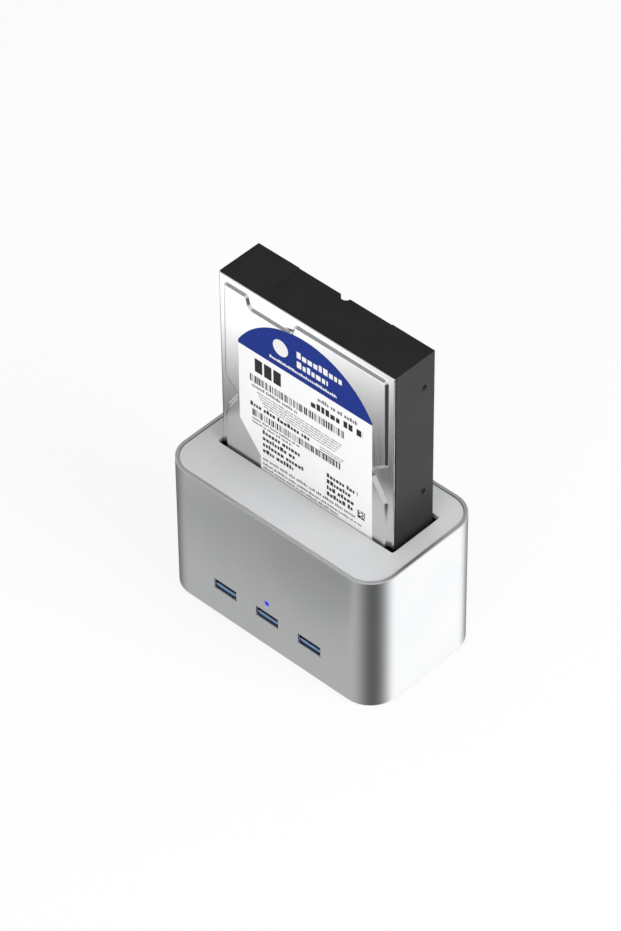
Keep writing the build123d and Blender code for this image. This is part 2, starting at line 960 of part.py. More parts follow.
def power_inlet():
    """The barrel inlet: a block under the board with a round nose in the wall."""
    x = rear_places["inlet"]
    half = inlet_width / 2
    face = case_back - rear_setback
    shoulder = case_back - case_wall - port_gap
    low = board_bottom - inlet_height
    inlet = block(x - half, x + half, face - inlet_length, shoulder, low, board_bottom)
    inlet += disc(x, rear_middle, shoulder, face, inlet_nose)
    inlet -= disc(x, rear_middle, face - inlet_depth, face + overrun, inlet_bore)
    return inlet


def power_inlet_pin():
    """The centre pin of the barrel inlet."""
    face = case_back - rear_setback
    return disc(rear_places["inlet"], rear_middle, face - inlet_depth, face - inlet_pin_setback, inlet_pin)


def switch_housing():
    """The body of the rocker switch, with its bezel outside the wall."""
    x = rear_places["switch"]
    z = rear_middle
    front = case_back - switch_depth
    housing = block(
        x - switch_half_x, x + switch_half_x, front, case_back, z - switch_half_z, z + switch_half_z
    )
    bezel = rounded(switch_half_x + switch_bezel_lip, switch_half_z + switch_bezel_lip, switch_bezel_lip)
    frame_ring = plate(bezel, case_back, bezel_face, x, z)
    housing += chamfer(frame_ring.faces().sort_by(Axis.Y)[-1].edges(), edge_break)
    half_x = rocker_reach + rocker_gap
    half_z = rocker_height / 2 + rocker_gap
    floor_y = rocker_pivot_y - hypot(rocker_half, rocker_back) - rocker_gap
    housing -= block(x - half_x, x + half_x, floor_y, bezel_face + overrun, z - half_z, z + half_z)
    axle_half = half_z + rocker_axle_length
    hole = Cylinder(rocker_axle + rocker_axle_gap, 2 * axle_half)
    housing -= Pos(x, rocker_pivot_y, z) * hole
    return housing


def switch_pins():
    """The switch's solder pins, up to the main board."""
    x = rear_places["switch"]
    y = case_back - switch_depth / 2
    half = switch_pin_width / 2
    pins = []
    for place in (-1, 0, 1):
        middle = x + place * switch_pin_pitch
        low = rear_middle + switch_half_z
        pins.append(block(middle - half, middle + half, y - half, y + half, low, board_bottom))
    return gather(pins)


def switch_rocker():
    """The rocker with a shallow V face and two stub axles, tilted to one side."""
    profile = Polygon(
        (-rocker_half, -rocker_back),
        (rocker_half, -rocker_back),
        (rocker_half, rocker_front),
        (0, rocker_crease),
        (-rocker_half, rocker_front),
        align=None,
    )
    half_z = rocker_height / 2
    rocker = extrude(Pos(0, 0, -half_z) * profile, rocker_height)
    axle_half = half_z + rocker_gap + rocker_axle_length - rocker_axle_gap
    rocker += Cylinder(rocker_axle, 2 * axle_half)
    return Pos(rear_places["switch"], rocker_pivot_y, rear_middle) * Rot(0, 0, -rocker_tilt_angle) * rocker


# Drive


def cavity_outline(grow):
    """The round bay of the platters with the square bay of the arms below it."""
    round_bay = Circle(platter_radius + platter_clearance + grow)
    top = -lower_cavity_top + grow
    bottom = seat + lower_cavity_floor - spindle_z - grow
    half = lower_cavity_half + grow
    lower = Pos(0, (top + bottom) / 2) * rounded(half, (top - bottom) / 2, lower_cavity_corner + grow)
    return round_bay + lower


def drive_board_outline(grow):
    """The drive's board, stepped at its upper right and open around the plug."""
    left = -drive_board_half - grow
    right = drive_board_half + grow
    low = seat + drive_board_margin - grow
    high = seat + drive_board_height + grow
    step_x = drive_board_step_half + grow
    step_z = high - drive_board_step
    outline = FilletPolyline(
        (left, low),
        (right, low),
        (right, step_z),
        (step_x, step_z),
        (step_x, high),
        (left, high),
        radius=drive_board_corner,
        close=True,
    )
    return make_face(outline)


def board_screw_places():
    """Where the drive's board is screwed to the casting, in X and Z."""
    left = -drive_board_half + drive_screw_inset
    right = drive_board_half - drive_screw_inset
    high = seat + drive_board_height - drive_screw_inset
    low = seat + drive_board_margin + drive_screw_inset
    step = high - drive_board_step
    middle = seat + drive_board_height / 2
    return [(left, high), (right, step), (right, low), (left, middle)]


def face_hole_places():
    """The four tapped holes in the drive's underside, in X and Z."""
    half = face_hole_spacing / 2
    first = seat + face_hole_first
    return [(x, z) for x in (-half, half) for z in (first, first + face_hole_step)]


def cover_screw_places():
    """The cover's screws, all in the half that stands in the well, in X and Z."""
    x = drive_width / 2 - cover_screw_inset
    low = seat + cover_screw_inset
    return [(side * x, z) for side in (-1, 1) for z in (low, low + cover_screw_rise)]


def back_recess_outline(inset):
    """The sunk field of the casting's back, between its rails and above the board."""
    half = drive_width / 2 - back_rail - inset
    low = seat + drive_board_height + recess_gap + back_board_rail + inset
    high = drive_top - back_end_rail - inset
    middle = (low + high) / 2 - spindle_z
    return Pos(0, middle) * rounded(half, (high - low) / 2, back_corner - inset)


def back_pockets():
    """The deeper corners of the field, outside the platters' round bay."""
    wall = Circle(platter_radius + platter_clearance + pocket_wall)
    half = drive_width / 2
    upper = Pos(0, half) * Rectangle(drive_width, drive_width)
    corners = (back_recess_outline(0) & upper) - wall
    return [fillet(face.vertices(), pocket_corner) for face in corners.faces()]


def drive_casting():
    """The black cast base of the drive."""
    half = drive_width / 2
    casting = block(-half, half, mate_face, drive_back, seat, drive_top)
    casting -= plate(cavity_outline(0), mate_face - overrun, cavity_back, 0, spindle_z)
    seal_back = mate_face + gasket_thickness
    casting -= plate(cavity_outline(gasket_width), mate_face - overrun, seal_back, 0, spindle_z)
    casting -= plate(drive_board_outline(recess_gap), recess_back, drive_back + overrun)
    field = back_recess_outline(0) - Circle(motor_pad_radius)
    casting -= plate(field, drive_back - back_recess_depth, drive_back + overrun, 0, spindle_z)
    for corner in back_pockets():
        casting -= plate(corner, drive_back - pocket_depth, drive_back + overrun, 0, spindle_z)
    pad_face = drive_back - motor_pad_depth
    casting -= disc(0, spindle_z, pad_face, drive_back + overrun, motor_pad_radius)
    pocket_radius = motor_flange_radius + motor_pocket_gap
    casting -= disc(0, spindle_z, drive_back - motor_pocket_depth, drive_back + overrun, pocket_radius)
    casting -= disc(0, spindle_z, mate_face, drive_back + overrun, motor_base_radius)
    for x, z in board_screw_places():
        casting += disc(x, z, recess_back, drive_board_front, 2 * drive_screw_head)
        hole_end = drive_board_front - drive_screw_depth
        casting -= disc(x, z, hole_end, drive_back, drive_screw_radius + screw_gap)
    bay_half = plug_half + recess_gap
    bay_front = connector_y - mouth_front - plug_wall - recess_gap
    bay_high = seat + plug_body + recess_gap
    casting -= block(
        connector_x - bay_half,
        connector_x + bay_half,
        bay_front,
        drive_back + overrun,
        seat - overrun,
        bay_high,
    )
    step_half = drive_width * end_step_share
    step_front = mate_face + end_step_setback
    step_low = drive_top - end_step_depth
    casting -= block(-step_half, step_half, step_front, drive_back + overrun, step_low, drive_top + overrun)
    notch_low = drive_top - notch_length
    notch_y = drive_back - notch_depth + notch_width / 2
    casting -= post(0, notch_y, notch_low, drive_top + overrun, notch_width / 2)
    for z in (seat + side_hole_first, seat + side_hole_second, seat + side_hole_third):
        y = drive_back - side_hole_setback
        for side in (-1, 1):
            hole = Cylinder(side_hole_radius, 2 * side_hole_depth)
            casting -= Pos(side * half, y, z) * Rot(0, 90, 0) * hole
    for x, z in face_hole_places():
        casting -= disc(x, z, drive_back - face_hole_depth, drive_back + overrun, side_hole_radius)
    for x, z in cover_screw_places():
        hole_end = mate_face + drive_screw_depth
        casting -= disc(x, z, mate_face - overrun, hole_end, drive_screw_radius + screw_gap)
    return casting


def plateau_outline():
    """The foot of the cover's raised plateau."""
    points = [(x * drive_width / 2, drive_top - down * drive_length) for x, down in plateau_shares]
    return make_face(FilletPolyline(*points, radius=plateau_corner, close=True))


def drive_cover():
    """The stamped cover: a flat flange and a raised plateau with sloped sides."""
    half = drive_width / 2 - cover_inset
    cover = block(-half, half, cover_face, mate_face, seat + cover_inset, drive_top - cover_inset)
    slope = degrees(atan2(plateau_run, plateau_rise))
    plane = Plane(origin=(0, cover_face, 0), x_dir=(1, 0, 0), z_dir=(0, -1, 0))
    cover += extrude(plane * plateau_outline(), plateau_rise, taper=slope)
    hollow = offset(plateau_outline(), -(plateau_run + cover_sheet / 2))
    cover -= plate(hollow, drive_front + cover_sheet, mate_face + overrun)
    for x, z in cover_screw_places():
        cover -= disc(x, z, drive_front - overrun, mate_face + overrun, drive_screw_radius + screw_gap)
    return cover


def drive_gasket():
    """The rubber seal between the casting and the cover."""
    outline = cavity_outline(gasket_width) - cavity_outline(0)
    return plate(outline, mate_face, mate_face + gasket_thickness, 0, spindle_z)


def drive_label():
    """The printed label on the plateau."""
    half = drive_width / 2
    left = label_left_share * half
    right = label_right_share * half
    radius = label_radius_share * half
    waist = drive_top - label_waist_share * drive_length - spindle_z
    hip = drive_top - label_hip_share * drive_length - spindle_z
    low_left = label_low_left_share * half
    end = drive_top - label_end_share * drive_length - spindle_z
    body = Polygon(
        (left, radius),
        (right, radius),
        (right, end),
        (low_left, end),
        (low_left, hip),
        (left, waist),
        align=None,
    )
    top = Circle(radius) + Pos(0, end / 2) * Rectangle(2 * radius, -end)
    return plate(body & top, drive_front - label_sheet, drive_front, 0, spindle_z)


def flat_screw(x, z, seat_y, side, head_height, depth, head):
    """A flat-headed screw along Y; side is -1 for a head at the front."""
    head_end = seat_y + side * head_height
    tip = seat_y - side * depth
    low, high = sorted((seat_y, head_end))
    screw = disc(x, z, low, high, head)
    low, high = sorted((seat_y, tip))
    return screw + disc(x, z, low, high, drive_screw_radius)


def drive_cover_screws():
    """Flat screws through the cover's flange."""
    depth = cover_sheet + drive_screw_depth - screw_gap
    return gather(
        flat_screw(x, z, cover_face, -1, cover_screw_head_height, depth, drive_screw_head)
        for x, z in cover_screw_places()
    )


def drive_board():
    """The drive's own board, sunk in the casting's back."""
    board = plate(drive_board_outline(0), drive_board_front, drive_board_back)
    half = plug_half + screw_gap
    board -= block(
        connector_x - half,
        connector_x + half,
        recess_back,
        drive_back,
        seat,
        seat + plug_body,
    )
    for x, z in board_screw_places():
        board -= disc(x, z, recess_back, drive_back, drive_screw_radius + screw_gap)
    return board


def drive_board_screws():
    """Flat screws that hold the drive's board."""
    depth = drive_board_thickness + drive_screw_depth - screw_gap
    return gather(
        flat_screw(x, z, drive_board_back, 1, drive_screw_head_height, depth, drive_screw_head)
        for x, z in board_screw_places()
    )


def drive_board_chips():
    """Chips on the hidden face of the drive's board."""
    half = drive_chip_side / 2
    z = seat + drive_board_height / 2
    chips = []
    for place in (-1, 0, 1):
        x = place * drive_chip_pitch
        front = drive_board_front - chip_height
        chips.append(block(x - half, x + half, front, drive_board_front, z - half, z + half))
    return gather(chips)


def drive_plug():
    """The drive's plug: a walled mouth with two keyed tongues."""
    back = connector_y + mouth_back + plug_wall
    front = connector_y - mouth_front - plug_wall
    low = seat + plug_recess
    plug = block(connector_x - plug_half, connector_x + plug_half, front, back, low, seat + plug_body)
    plug -= block(
        connector_x - mouth_half,
        connector_x + mouth_half,
        connector_y - mouth_front,
        connector_y + mouth_back,
        seat - overrun,
        seat + mouth_depth,
    )
    for left, width, count in tongue_layout():
        plug += keyed_tongue(left, width, 0, seat + tongue_tip, seat + mouth_depth)
    return plug


def drive_plug_contacts():
    """The gold pads on the plug's tongues."""
    pads = []
    low = seat + tongue_tip + pad_proud
    for left, width, count in tongue_layout():
        face = connector_y + blade_plate / 2
        pads += contact_row(left, width, count, pad_proud, face, low, low + pad_length)
    return gather(pads)


# Motor and platters


def spindle_motor_base():
    """The motor's base and flange in the casting, with its stator and fixed shaft."""
    back = drive_back - motor_base_setback
    base = disc(0, spindle_z, cavity_back, back, motor_base_radius)
    base = chamfer(base.edges().sort_by(Axis.Y)[-1], motor_base_bevel)
    base -= disc(0, spindle_z, back - motor_dimple_depth, back + overrun, motor_dimple_radius)
    flange_seat = drive_back - motor_pocket_depth
    base += disc(0, spindle_z, flange_seat, flange_seat + motor_flange_thickness, motor_flange_radius)
    stator_front = platter_one + hub_crown + motor_gap
    base += disc(0, spindle_z, stator_front, cavity_back, hub_radius - hub_wall - motor_gap)
    shaft_front = platter_one - clamp_thickness - shaft_stand
    base += disc(0, spindle_z, shaft_front, stator_front, shaft_radius)
    return base


def spindle_hub():
    """The turning hub, a cup over the stator with a flange for the platters."""
    skirt = stack_end + hub_skirt
    hub = disc(0, spindle_z, platter_one, skirt, hub_radius)
    hub += disc(0, spindle_z, stack_end, stack_end + hub_flange_thickness, hub_flange)
    hub -= disc(0, spindle_z, platter_one + hub_crown, skirt + overrun, hub_radius - hub_wall)
    hub -= disc(0, spindle_z, platter_one - overrun, skirt, shaft_radius + shaft_gap)
    for x, z in clamp_screw_places():
        hub -= disc(x, z, platter_one - overrun, platter_one + clamp_screw_depth, clamp_screw_radius)
    return hub


def clamp_screw_places():
    """The clamp's screws on their circle, in X and Z."""
    places = []
    for index in range(clamp_screw_count):
        angle = radians(360 * index / clamp_screw_count)
        places.append((clamp_screw_circle * cos(angle), spindle_z + clamp_screw_circle * sin(angle)))
    return places


def platter(front):
    """One polished disc."""
    return ring(0, spindle_z, front, front + platter_thickness, platter_radius, hub_radius)


def platter_spacer():
    """The ring between the two platters."""
    return ring(0, spindle_z, platter_one + platter_thickness, platter_two, hub_flange, hub_radius)


def platter_clamp():
    """The disc that holds the platters on the hub."""
    front = platter_one - clamp_thickness
    clamp = ring(0, spindle_z, front, platter_one, hub_flange, clamp_bore)
    for x, z in clamp_screw_places():
        clamp -= disc(x, z, front - overrun, platter_one + overrun, clamp_screw_radius)
    return clamp


def clamp_screws():
    """The small screws in the clamp."""
    front = platter_one - clamp_thickness
    screws = []
    for x, z in clamp_screw_places():
        head = disc(x, z, front - clamp_screw_head_height, front, clamp_screw_head)
        screws.append(head + disc(x, z, front, platter_one + clamp_screw_depth, clamp_screw_radius))
    return gather(screws)


# Head stack and its magnets


def about_pivot(outline, y_low, y_high):
    """An outline about the head stack's pivot, filled between two depths."""
    return plate(outline, y_low, y_high, pivot_x, pivot_z)


def arm_outline():
    """One tapered arm that points along the park angle."""
    root = arm_root / 2
    tip = arm_tip / 2
    reach = arm_length + tab_length
    outline = Polygon((0, -root), (reach, -tip), (reach, tip), (0, root), align=None)
    outline -= Pos(arm_hole_place, 0) * Circle(arm_hole_radius)
    return Rot(0, 0, park_angle) * outline


def head_arms():
    """The block around the pivot with three arms and the fork of the coil."""
    front = arm_levels[0] - arm_thickness / 2
    back = arm_levels[2] + arm_thickness / 2
    stack = about_pivot(Circle(arm_block_radius), front, back)
    for level in arm_levels:
        stack += about_pivot(arm_outline(), level - arm_thickness / 2, level + arm_thickness / 2)
    middle = arm_levels[1]
    tail = park_angle + 180
    for start in (tail - coil_angle / 2 - fork_angle, tail + coil_angle / 2):
        prong = sector(arm_block_radius / 2, coil_outer, start, fork_angle)
        stack += about_pivot(prong, middle - coil_thickness / 2, middle + coil_thickness / 2)
    stack -= about_pivot(Circle(bearing_radius), front - overrun, back + overrun)
    return stack


def voice_coil():
    """The wound coil between the prongs of the fork."""
    middle = arm_levels[1]
    start = park_angle + 180 - coil_angle / 2
    outer = sector(coil_inner, coil_outer, start, coil_angle)
    side_angle = 2 * degrees(coil_ring / coil_outer)
    window_start = start + side_angle
    window_span = coil_angle - 2 * side_angle
    window = sector(coil_inner + coil_ring, coil_outer - coil_ring, window_start, window_span)
    return about_pivot(outer - window, middle - coil_thickness / 2, middle + coil_thickness / 2)


def read_heads():
    """The four heads at the arms' ends, one for each side of each platter."""
    outline = Rot(0, 0, park_angle) * Pos(arm_length, 0) * Rectangle(head_size, head_size)
    half = arm_thickness / 2
    spans = [
        (arm_levels[0] + half, platter_one - head_gap),
        (platter_one + platter_thickness + head_gap, arm_levels[1] - half),
        (arm_levels[1] + half, platter_two - head_gap),
        (stack_end + head_gap, arm_levels[2] - half),
    ]
    return gather(about_pivot(outline, low, high) for low, high in spans)


def pivot_bearing():
    """The sleeve of the head stack's bearing."""
    front = arm_levels[0] - arm_thickness / 2
    back = arm_levels[2] + arm_thickness / 2
    return ring(pivot_x, pivot_z, front, back, bearing_radius, pivot_radius + pivot_gap)


def actuator_pivot_pin():
    """The fixed pin that the head stack swings on."""
    front = arm_levels[0] - arm_thickness / 2 - shaft_stand
    pin = about_pivot(Circle(pivot_radius), front, cavity_back)
    return pin + about_pivot(Circle(pivot_flange_radius), cavity_back - pivot_flange_height, cavity_back)


def yoke_levels():
    """Front and back gap faces of the magnets, either side of the coil."""
    half = coil_thickness / 2 + coil_gap
    return arm_levels[1] - half, arm_levels[1] + half


def yoke_posts(y_low, y_high):
    """Round posts at the yoke's two ends, outside the coil's sweep."""
    posts = []
    reach = magnet_outer - yoke_margin - yoke_post_radius
    inset = degrees((yoke_margin + yoke_post_radius) / reach)
    for angle in (yoke_start_angle - inset, yoke_start_angle + yoke_sweep_angle + inset):
        x = pivot_x + reach * cos(radians(angle))
        z = pivot_z + reach * sin(radians(angle))
        posts.append(disc(x, z, y_low, y_high, yoke_post_radius))
    return posts


def yoke_plate(y_low, y_high):
    """The fan-shaped steel of one yoke."""
    return about_pivot(sector(magnet_inner, magnet_outer, yoke_start_angle, yoke_sweep_angle), y_low, y_high)


def magnet_plate_lower():
    """The back yoke, on posts that stand on the casting's floor."""
    face = yoke_levels()[1] + magnet_thickness
    yoke = yoke_plate(face, face + yoke_thickness)
    for pillar in yoke_posts(face, cavity_back):
        yoke += pillar
    return yoke


def magnet_plate_upper():
    """The front yoke, with posts down to the back yoke's posts."""
    face = yoke_levels()[0] - magnet_thickness
    yoke = yoke_plate(face - yoke_thickness, face)
    for pillar in yoke_posts(face - yoke_thickness, yoke_levels()[1] + magnet_thickness):
        yoke += pillar
    return yoke


def magnets():
    """The two curved magnets on the yokes' inner faces."""
    front, back = yoke_levels()
    post_space = 2 * (yoke_margin + yoke_post_radius)
    margin = degrees(post_space / (magnet_outer - post_space / 2)) + yoke_margin_angle
    outline = sector(magnet_inner, magnet_outer, yoke_start_angle - margin, yoke_sweep_angle + 2 * margin)
    upper = about_pivot(outline, front - magnet_thickness, front)
    lower = about_pivot(outline, back, back + magnet_thickness)
    return gather([upper, lower])


def parking_ramp():
    """The comb beside the platters that the arms' ends rest in when parked."""
    reach = arm_length + tab_length
    half = arm_thickness / 2 + ramp_clearance
    front = arm_levels[0] - half - ramp_wall
    comb = sector(reach - ramp_inner, reach + ramp_outer, ramp_start_angle, ramp_sweep_angle)
    groove_start = ramp_start_angle - ramp_sweep_angle
    groove = sector(arm_length / 2, reach + ramp_clearance, groove_start, 3 * ramp_sweep_angle)
    ramp = about_pivot(comb, front, cavity_back)
    for level in arm_levels:
        ramp -= about_pivot(groove, level - half, level + half)
    return ramp


def air_filter():
    """The filter pad in the upper corner of the arms' bay."""
    left = -lower_cavity_half
    low = seat + lower_cavity_floor + lower_cavity_corner
    front = cavity_back - filter_thickness
    return block(left, left + filter_width, front, cavity_back, low, low + filter_height)


nodes = {
    "outer_case": outer_case,
    "top_plate": top_plate,
    "drive_well": drive_well,
    "well_screws": well_screws,
    "base_plate": base_plate,
    "base_screws": base_screws,
    "rubber_feet": rubber_feet,
    "main_board": main_board,
    "board_screws": board_screws,
    "usb_contacts": usb_contacts,
    "led_light_pipe": led_light_pipe,
    "led_chip": led_chip,
    "sata_socket": sata_socket,
    "sata_socket_contacts": sata_socket_contacts,
    "bridge_chip": bridge_chip,
    "hub_chip": hub_chip,
    "power_inductor": power_inductor,
    "capacitors": capacitors,
    "crystal": crystal,
    "rear_usb_shell": rear_usb_shell,
    "rear_usb_insert": rear_usb_insert,
    "power_inlet": power_inlet,
    "power_inlet_pin": power_inlet_pin,
    "switch_housing": switch_housing,
    "switch_pins": switch_pins,
    "switch_rocker": switch_rocker,
    "drive_casting": drive_casting,
    "drive_cover": drive_cover,
    "drive_gasket": drive_gasket,
    "drive_label": drive_label,
    "drive_cover_screws": drive_cover_screws,
    "drive_board": drive_board,
    "drive_board_screws": drive_board_screws,
    "drive_board_chips": drive_board_chips,
    "drive_plug": drive_plug,
    "drive_plug_contacts": drive_plug_contacts,
    "spindle_motor_base": spindle_motor_base,
    "spindle_hub": spindle_hub,
    "platter_front": lambda: platter(platter_one),
    "platter_back": lambda: platter(platter_two),
    "platter_spacer": platter_spacer,
    "platter_clamp": platter_clamp,
    "clamp_screws": clamp_screws,
    "head_arms": head_arms,
    "voice_coil": voice_coil,
    "read_heads": read_heads,
    "pivot_bearing": pivot_bearing,
    "actuator_pivot_pin": actuator_pivot_pin,
    "magnet_plate_lower": magnet_plate_lower,
    "magnet_plate_upper": magnet_plate_upper,
    "magnets": magnets,
    "parking_ramp": parking_ramp,
    "air_filter": air_filter,
}

os.makedirs("parts", exist_ok=True)
for name, make in nodes.items():
    export_step(make(), f"parts/{name}.step")
for side, x in port_places.items():
    export_step(usb_shell(x), f"parts/usb_shell_{side}.step")
    export_step(usb_tongue(x), f"parts/usb_tongue_{side}.step")

print("rocker pivot", rear_places["switch"], rocker_pivot_y, rear_middle)
print("spindle", 0, mate_face, spindle_z)
print("arm pivot", pivot_x, mate_face, pivot_z)
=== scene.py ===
import math
import random

import bmesh
import bpy
from mathutils import Matrix, Vector


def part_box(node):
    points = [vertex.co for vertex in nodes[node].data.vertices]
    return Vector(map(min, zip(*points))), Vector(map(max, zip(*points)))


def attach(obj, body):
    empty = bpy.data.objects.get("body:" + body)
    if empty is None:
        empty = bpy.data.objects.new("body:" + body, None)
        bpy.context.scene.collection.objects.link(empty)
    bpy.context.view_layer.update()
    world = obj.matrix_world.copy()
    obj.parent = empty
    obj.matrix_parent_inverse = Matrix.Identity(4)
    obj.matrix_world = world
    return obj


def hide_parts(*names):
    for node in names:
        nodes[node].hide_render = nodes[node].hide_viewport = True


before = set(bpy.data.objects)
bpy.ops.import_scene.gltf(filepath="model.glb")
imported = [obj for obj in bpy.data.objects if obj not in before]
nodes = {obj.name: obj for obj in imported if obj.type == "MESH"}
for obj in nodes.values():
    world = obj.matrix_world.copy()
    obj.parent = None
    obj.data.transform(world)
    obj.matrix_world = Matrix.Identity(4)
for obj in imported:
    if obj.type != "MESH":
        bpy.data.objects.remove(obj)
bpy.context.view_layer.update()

MM = 0.001
CIRCLE_STEPS = 48
STAR_LOBES = 6
SIDES = ("left", "middle", "right")
TOWARDS_FRONT = Vector((0, -1, 0))
TOWARDS_BACK = Vector((0, 1, 0))
DOWN = Vector((0, 0, -1))
LEFT = Vector((-1, 0, 0))
RIGHT = Vector((1, 0, 0))
UP = Vector((0, 0, 1))

# The boxes that the detail pieces are placed by
label_low, label_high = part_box("drive_label")
platter_low, platter_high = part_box("platter_front")
drive_low, drive_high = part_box("drive_casting")
board_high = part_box("drive_board")[1]
spindle_z = (platter_low.z + platter_high.z) / 2


# Nodes that the materials and the light share


def link(tree, value, target):
    """Sets a socket to a number, or links another node's output to it."""
    if isinstance(value, (int, float)):
        target.default_value = value
    else:
        tree.links.new(value, target)


def worked(tree, operation, first, second):
    """The result of a math node."""
    node = tree.nodes.new("ShaderNodeMath")
    node.operation = operation
    link(tree, first, node.inputs[0])
    link(tree, second, node.inputs[1])
    return node.outputs["Value"]


def level_between(tree, value, start, end, low, high):
    """A level that goes from low to high as the value goes from start to end."""
    node = tree.nodes.new("ShaderNodeMapRange")
    node.inputs["From Min"].default_value = start
    node.inputs["From Max"].default_value = end
    node.inputs["To Min"].default_value = low
    node.inputs["To Max"].default_value = high
    tree.links.new(value, node.inputs["Value"])
    return node.outputs["Result"]


def dot_with(tree, vector, direction):
    """The dot product of a vector socket and a fixed direction."""
    node = tree.nodes.new("ShaderNodeVectorMath")
    node.operation = "DOT_PRODUCT"
    node.inputs[1].default_value = direction
    tree.links.new(vector, node.inputs[0])
    return node.outputs["Value"]


def coordinates(tree, kind):
    """One of the texture coordinates."""
    return tree.nodes.new("ShaderNodeTexCoord").outputs[kind]


# Materials


# Nearly all of a noise lies between these two values
NOISE_LOW = 0.3
NOISE_HIGH = 0.7
EDGE_SAMPLES = 8


def new_material(name):
    """A new material, its node tree and its Principled shader."""
    material = bpy.data.materials.new(name)
    material.use_nodes = True
    tree = material.node_tree
    return material, tree, tree.nodes["Principled BSDF"]


def shade(shader, metallic=0.0, roughness=0.5, specular=0.5):
    """Sets the plain values of a Principled shader."""
    shader.inputs["Metallic"].default_value = metallic
    shader.inputs["Roughness"].default_value = roughness
    shader.inputs["Specular IOR Level"].default_value = specular


def scaled(tree, vector, shares):
    """A vector with each axis scaled by a share."""
    node = tree.nodes.new("ShaderNodeMapping")
    node.inputs["Scale"].default_value = shares
    tree.links.new(vector, node.inputs["Vector"])
    return node.outputs["Vector"]


def noise(tree, scale, detail=2.0, stretch=(1, 1, 1)):
    """Noise over the object's own coordinates; scale is in features per metre."""
    texture = tree.nodes.new("ShaderNodeTexNoise")
    texture.inputs["Scale"].default_value = scale
    texture.inputs["Detail"].default_value = detail
    place = scaled(tree, coordinates(tree, "Object"), stretch)
    tree.links.new(place, texture.inputs["Vector"])
    return texture.outputs["Fac"]


def ramp(tree, value, low, high, low_color, high_color):
    """A colour between two colours as the value goes from low to high."""
    mix = tree.nodes.new("ShaderNodeMix")
    mix.data_type = "RGBA"
    mix.inputs["A"].default_value = (*low_color, 1)
    mix.inputs["B"].default_value = (*high_color, 1)
    tree.links.new(level_between(tree, value, low, high, 0, 1), mix.inputs["Factor"])
    return mix.outputs["Result"]


def tint(tree, shader, value, dark, light):
    """Colours a surface from dark to light by a noise."""
    color = ramp(tree, value, NOISE_LOW, NOISE_HIGH, dark, light)
    tree.links.new(color, shader.inputs["Base Color"])


def roughen(tree, shader, value, low, high):
    """Varies a surface's roughness from low to high by a noise."""
    tree.links.new(level_between(tree, value, 0, 1, low, high), shader.inputs["Roughness"])


def bump(tree, shader, value, distance, strength, edge=0.0):
    """A bump as high as the value times distance; edge rounds the corners' shading."""
    node = tree.nodes.new("ShaderNodeBump")
    node.inputs["Distance"].default_value = distance
    node.inputs["Strength"].default_value = strength
    tree.links.new(value, node.inputs["Height"])
    tree.links.new(node.outputs["Normal"], shader.inputs["Normal"])
    if edge:
        soft = tree.nodes.new("ShaderNodeBevel")
        soft.samples = EDGE_SAMPLES
        soft.inputs["Radius"].default_value = edge
        tree.links.new(soft.outputs["Normal"], node.inputs["Normal"])


def distance_from(tree, centre):
    """Distance from the line along Y through a point."""
    x, y, z = centre
    gap = tree.nodes.new("ShaderNodeVectorMath")
    gap.operation = "DISTANCE"
    gap.inputs[1].default_value = (x, 0, z)
    tree.links.new(scaled(tree, coordinates(tree, "Object"), (1, 0, 1)), gap.inputs[0])
    return gap.outputs["Value"]


def grey(value):
    """A neutral linear colour."""
    return (value, value, value)


def dimmed(color, share):
    """A colour with every channel scaled."""
    return tuple(channel * share for channel in color)


def blasted(name, value, roughness, metallic=1.0):
    """Bead-blasted and anodised aluminium: fine even pits, barely uneven in tone."""
    material, tree, shader = new_material(name)
    shade(shader, metallic=metallic, roughness=roughness)
    cool = (value * 0.97, value * 0.985, value)
    tint(tree, shader, noise(tree, scale=35, detail=3), cool, grey(value * 1.02))
    pits = noise(tree, scale=5200)
    roughen(tree, shader, pits, roughness - 0.05, roughness + 0.05)
    bump(tree, shader, pits, distance=0.012 * MM, strength=0.6, edge=0.35 * MM)
    return material


def moulded(name, color, roughness, grain=2600):
    """Moulded plastic with a fine spark-eroded grain."""
    material, tree, shader = new_material(name)
    shade(shader, roughness=roughness)
    grains = noise(tree, scale=grain)
    tint(tree, shader, grains, dimmed(color, 0.88), color)
    roughen(tree, shader, grains, roughness - 0.08, roughness + 0.08)
    bump(tree, shader, grains, distance=0.01 * MM, strength=0.5)
    return material


def cast(name, color, roughness):
    """Die-cast metal under a black coat, slightly uneven."""
    material, tree, shader = new_material(name)
    shade(shader, roughness=roughness, specular=0.1)
    tint(tree, shader, noise(tree, scale=60, detail=4), dimmed(color, 0.86), dimmed(color, 1.18))
    grains = noise(tree, scale=1800, detail=3)
    roughen(tree, shader, grains, roughness - 0.08, roughness + 0.1)
    bump(tree, shader, grains, distance=0.02 * MM, strength=0.6, edge=0.35 * MM)
    return material


def stamped(name, value, roughness):
    """Stamped sheet with a faint rolling grain along its length."""
    material, tree, shader = new_material(name)
    shade(shader, metallic=1.0, roughness=roughness)
    cool = (value * 0.95, value * 0.96, value * 0.97)
    tint(tree, shader, noise(tree, scale=40), cool, grey(value))
    lines = noise(tree, scale=900, detail=3, stretch=(1, 1, 0.03))
    roughen(tree, shader, lines, roughness - 0.06, roughness + 0.08)
    bump(tree, shader, lines, distance=0.004 * MM, strength=0.5, edge=0.9 * MM)
    return material


def plated(name, color, roughness):
    """Plated metal on small parts: screws, pins, shells and contacts."""
    material, tree, shader = new_material(name)
    shade(shader, metallic=1.0, roughness=roughness)
    cloud = noise(tree, scale=700, detail=3)
    tint(tree, shader, cloud, dimmed(color, 0.82), color)
    roughen(tree, shader, cloud, roughness - 0.08, roughness + 0.1)
    return material


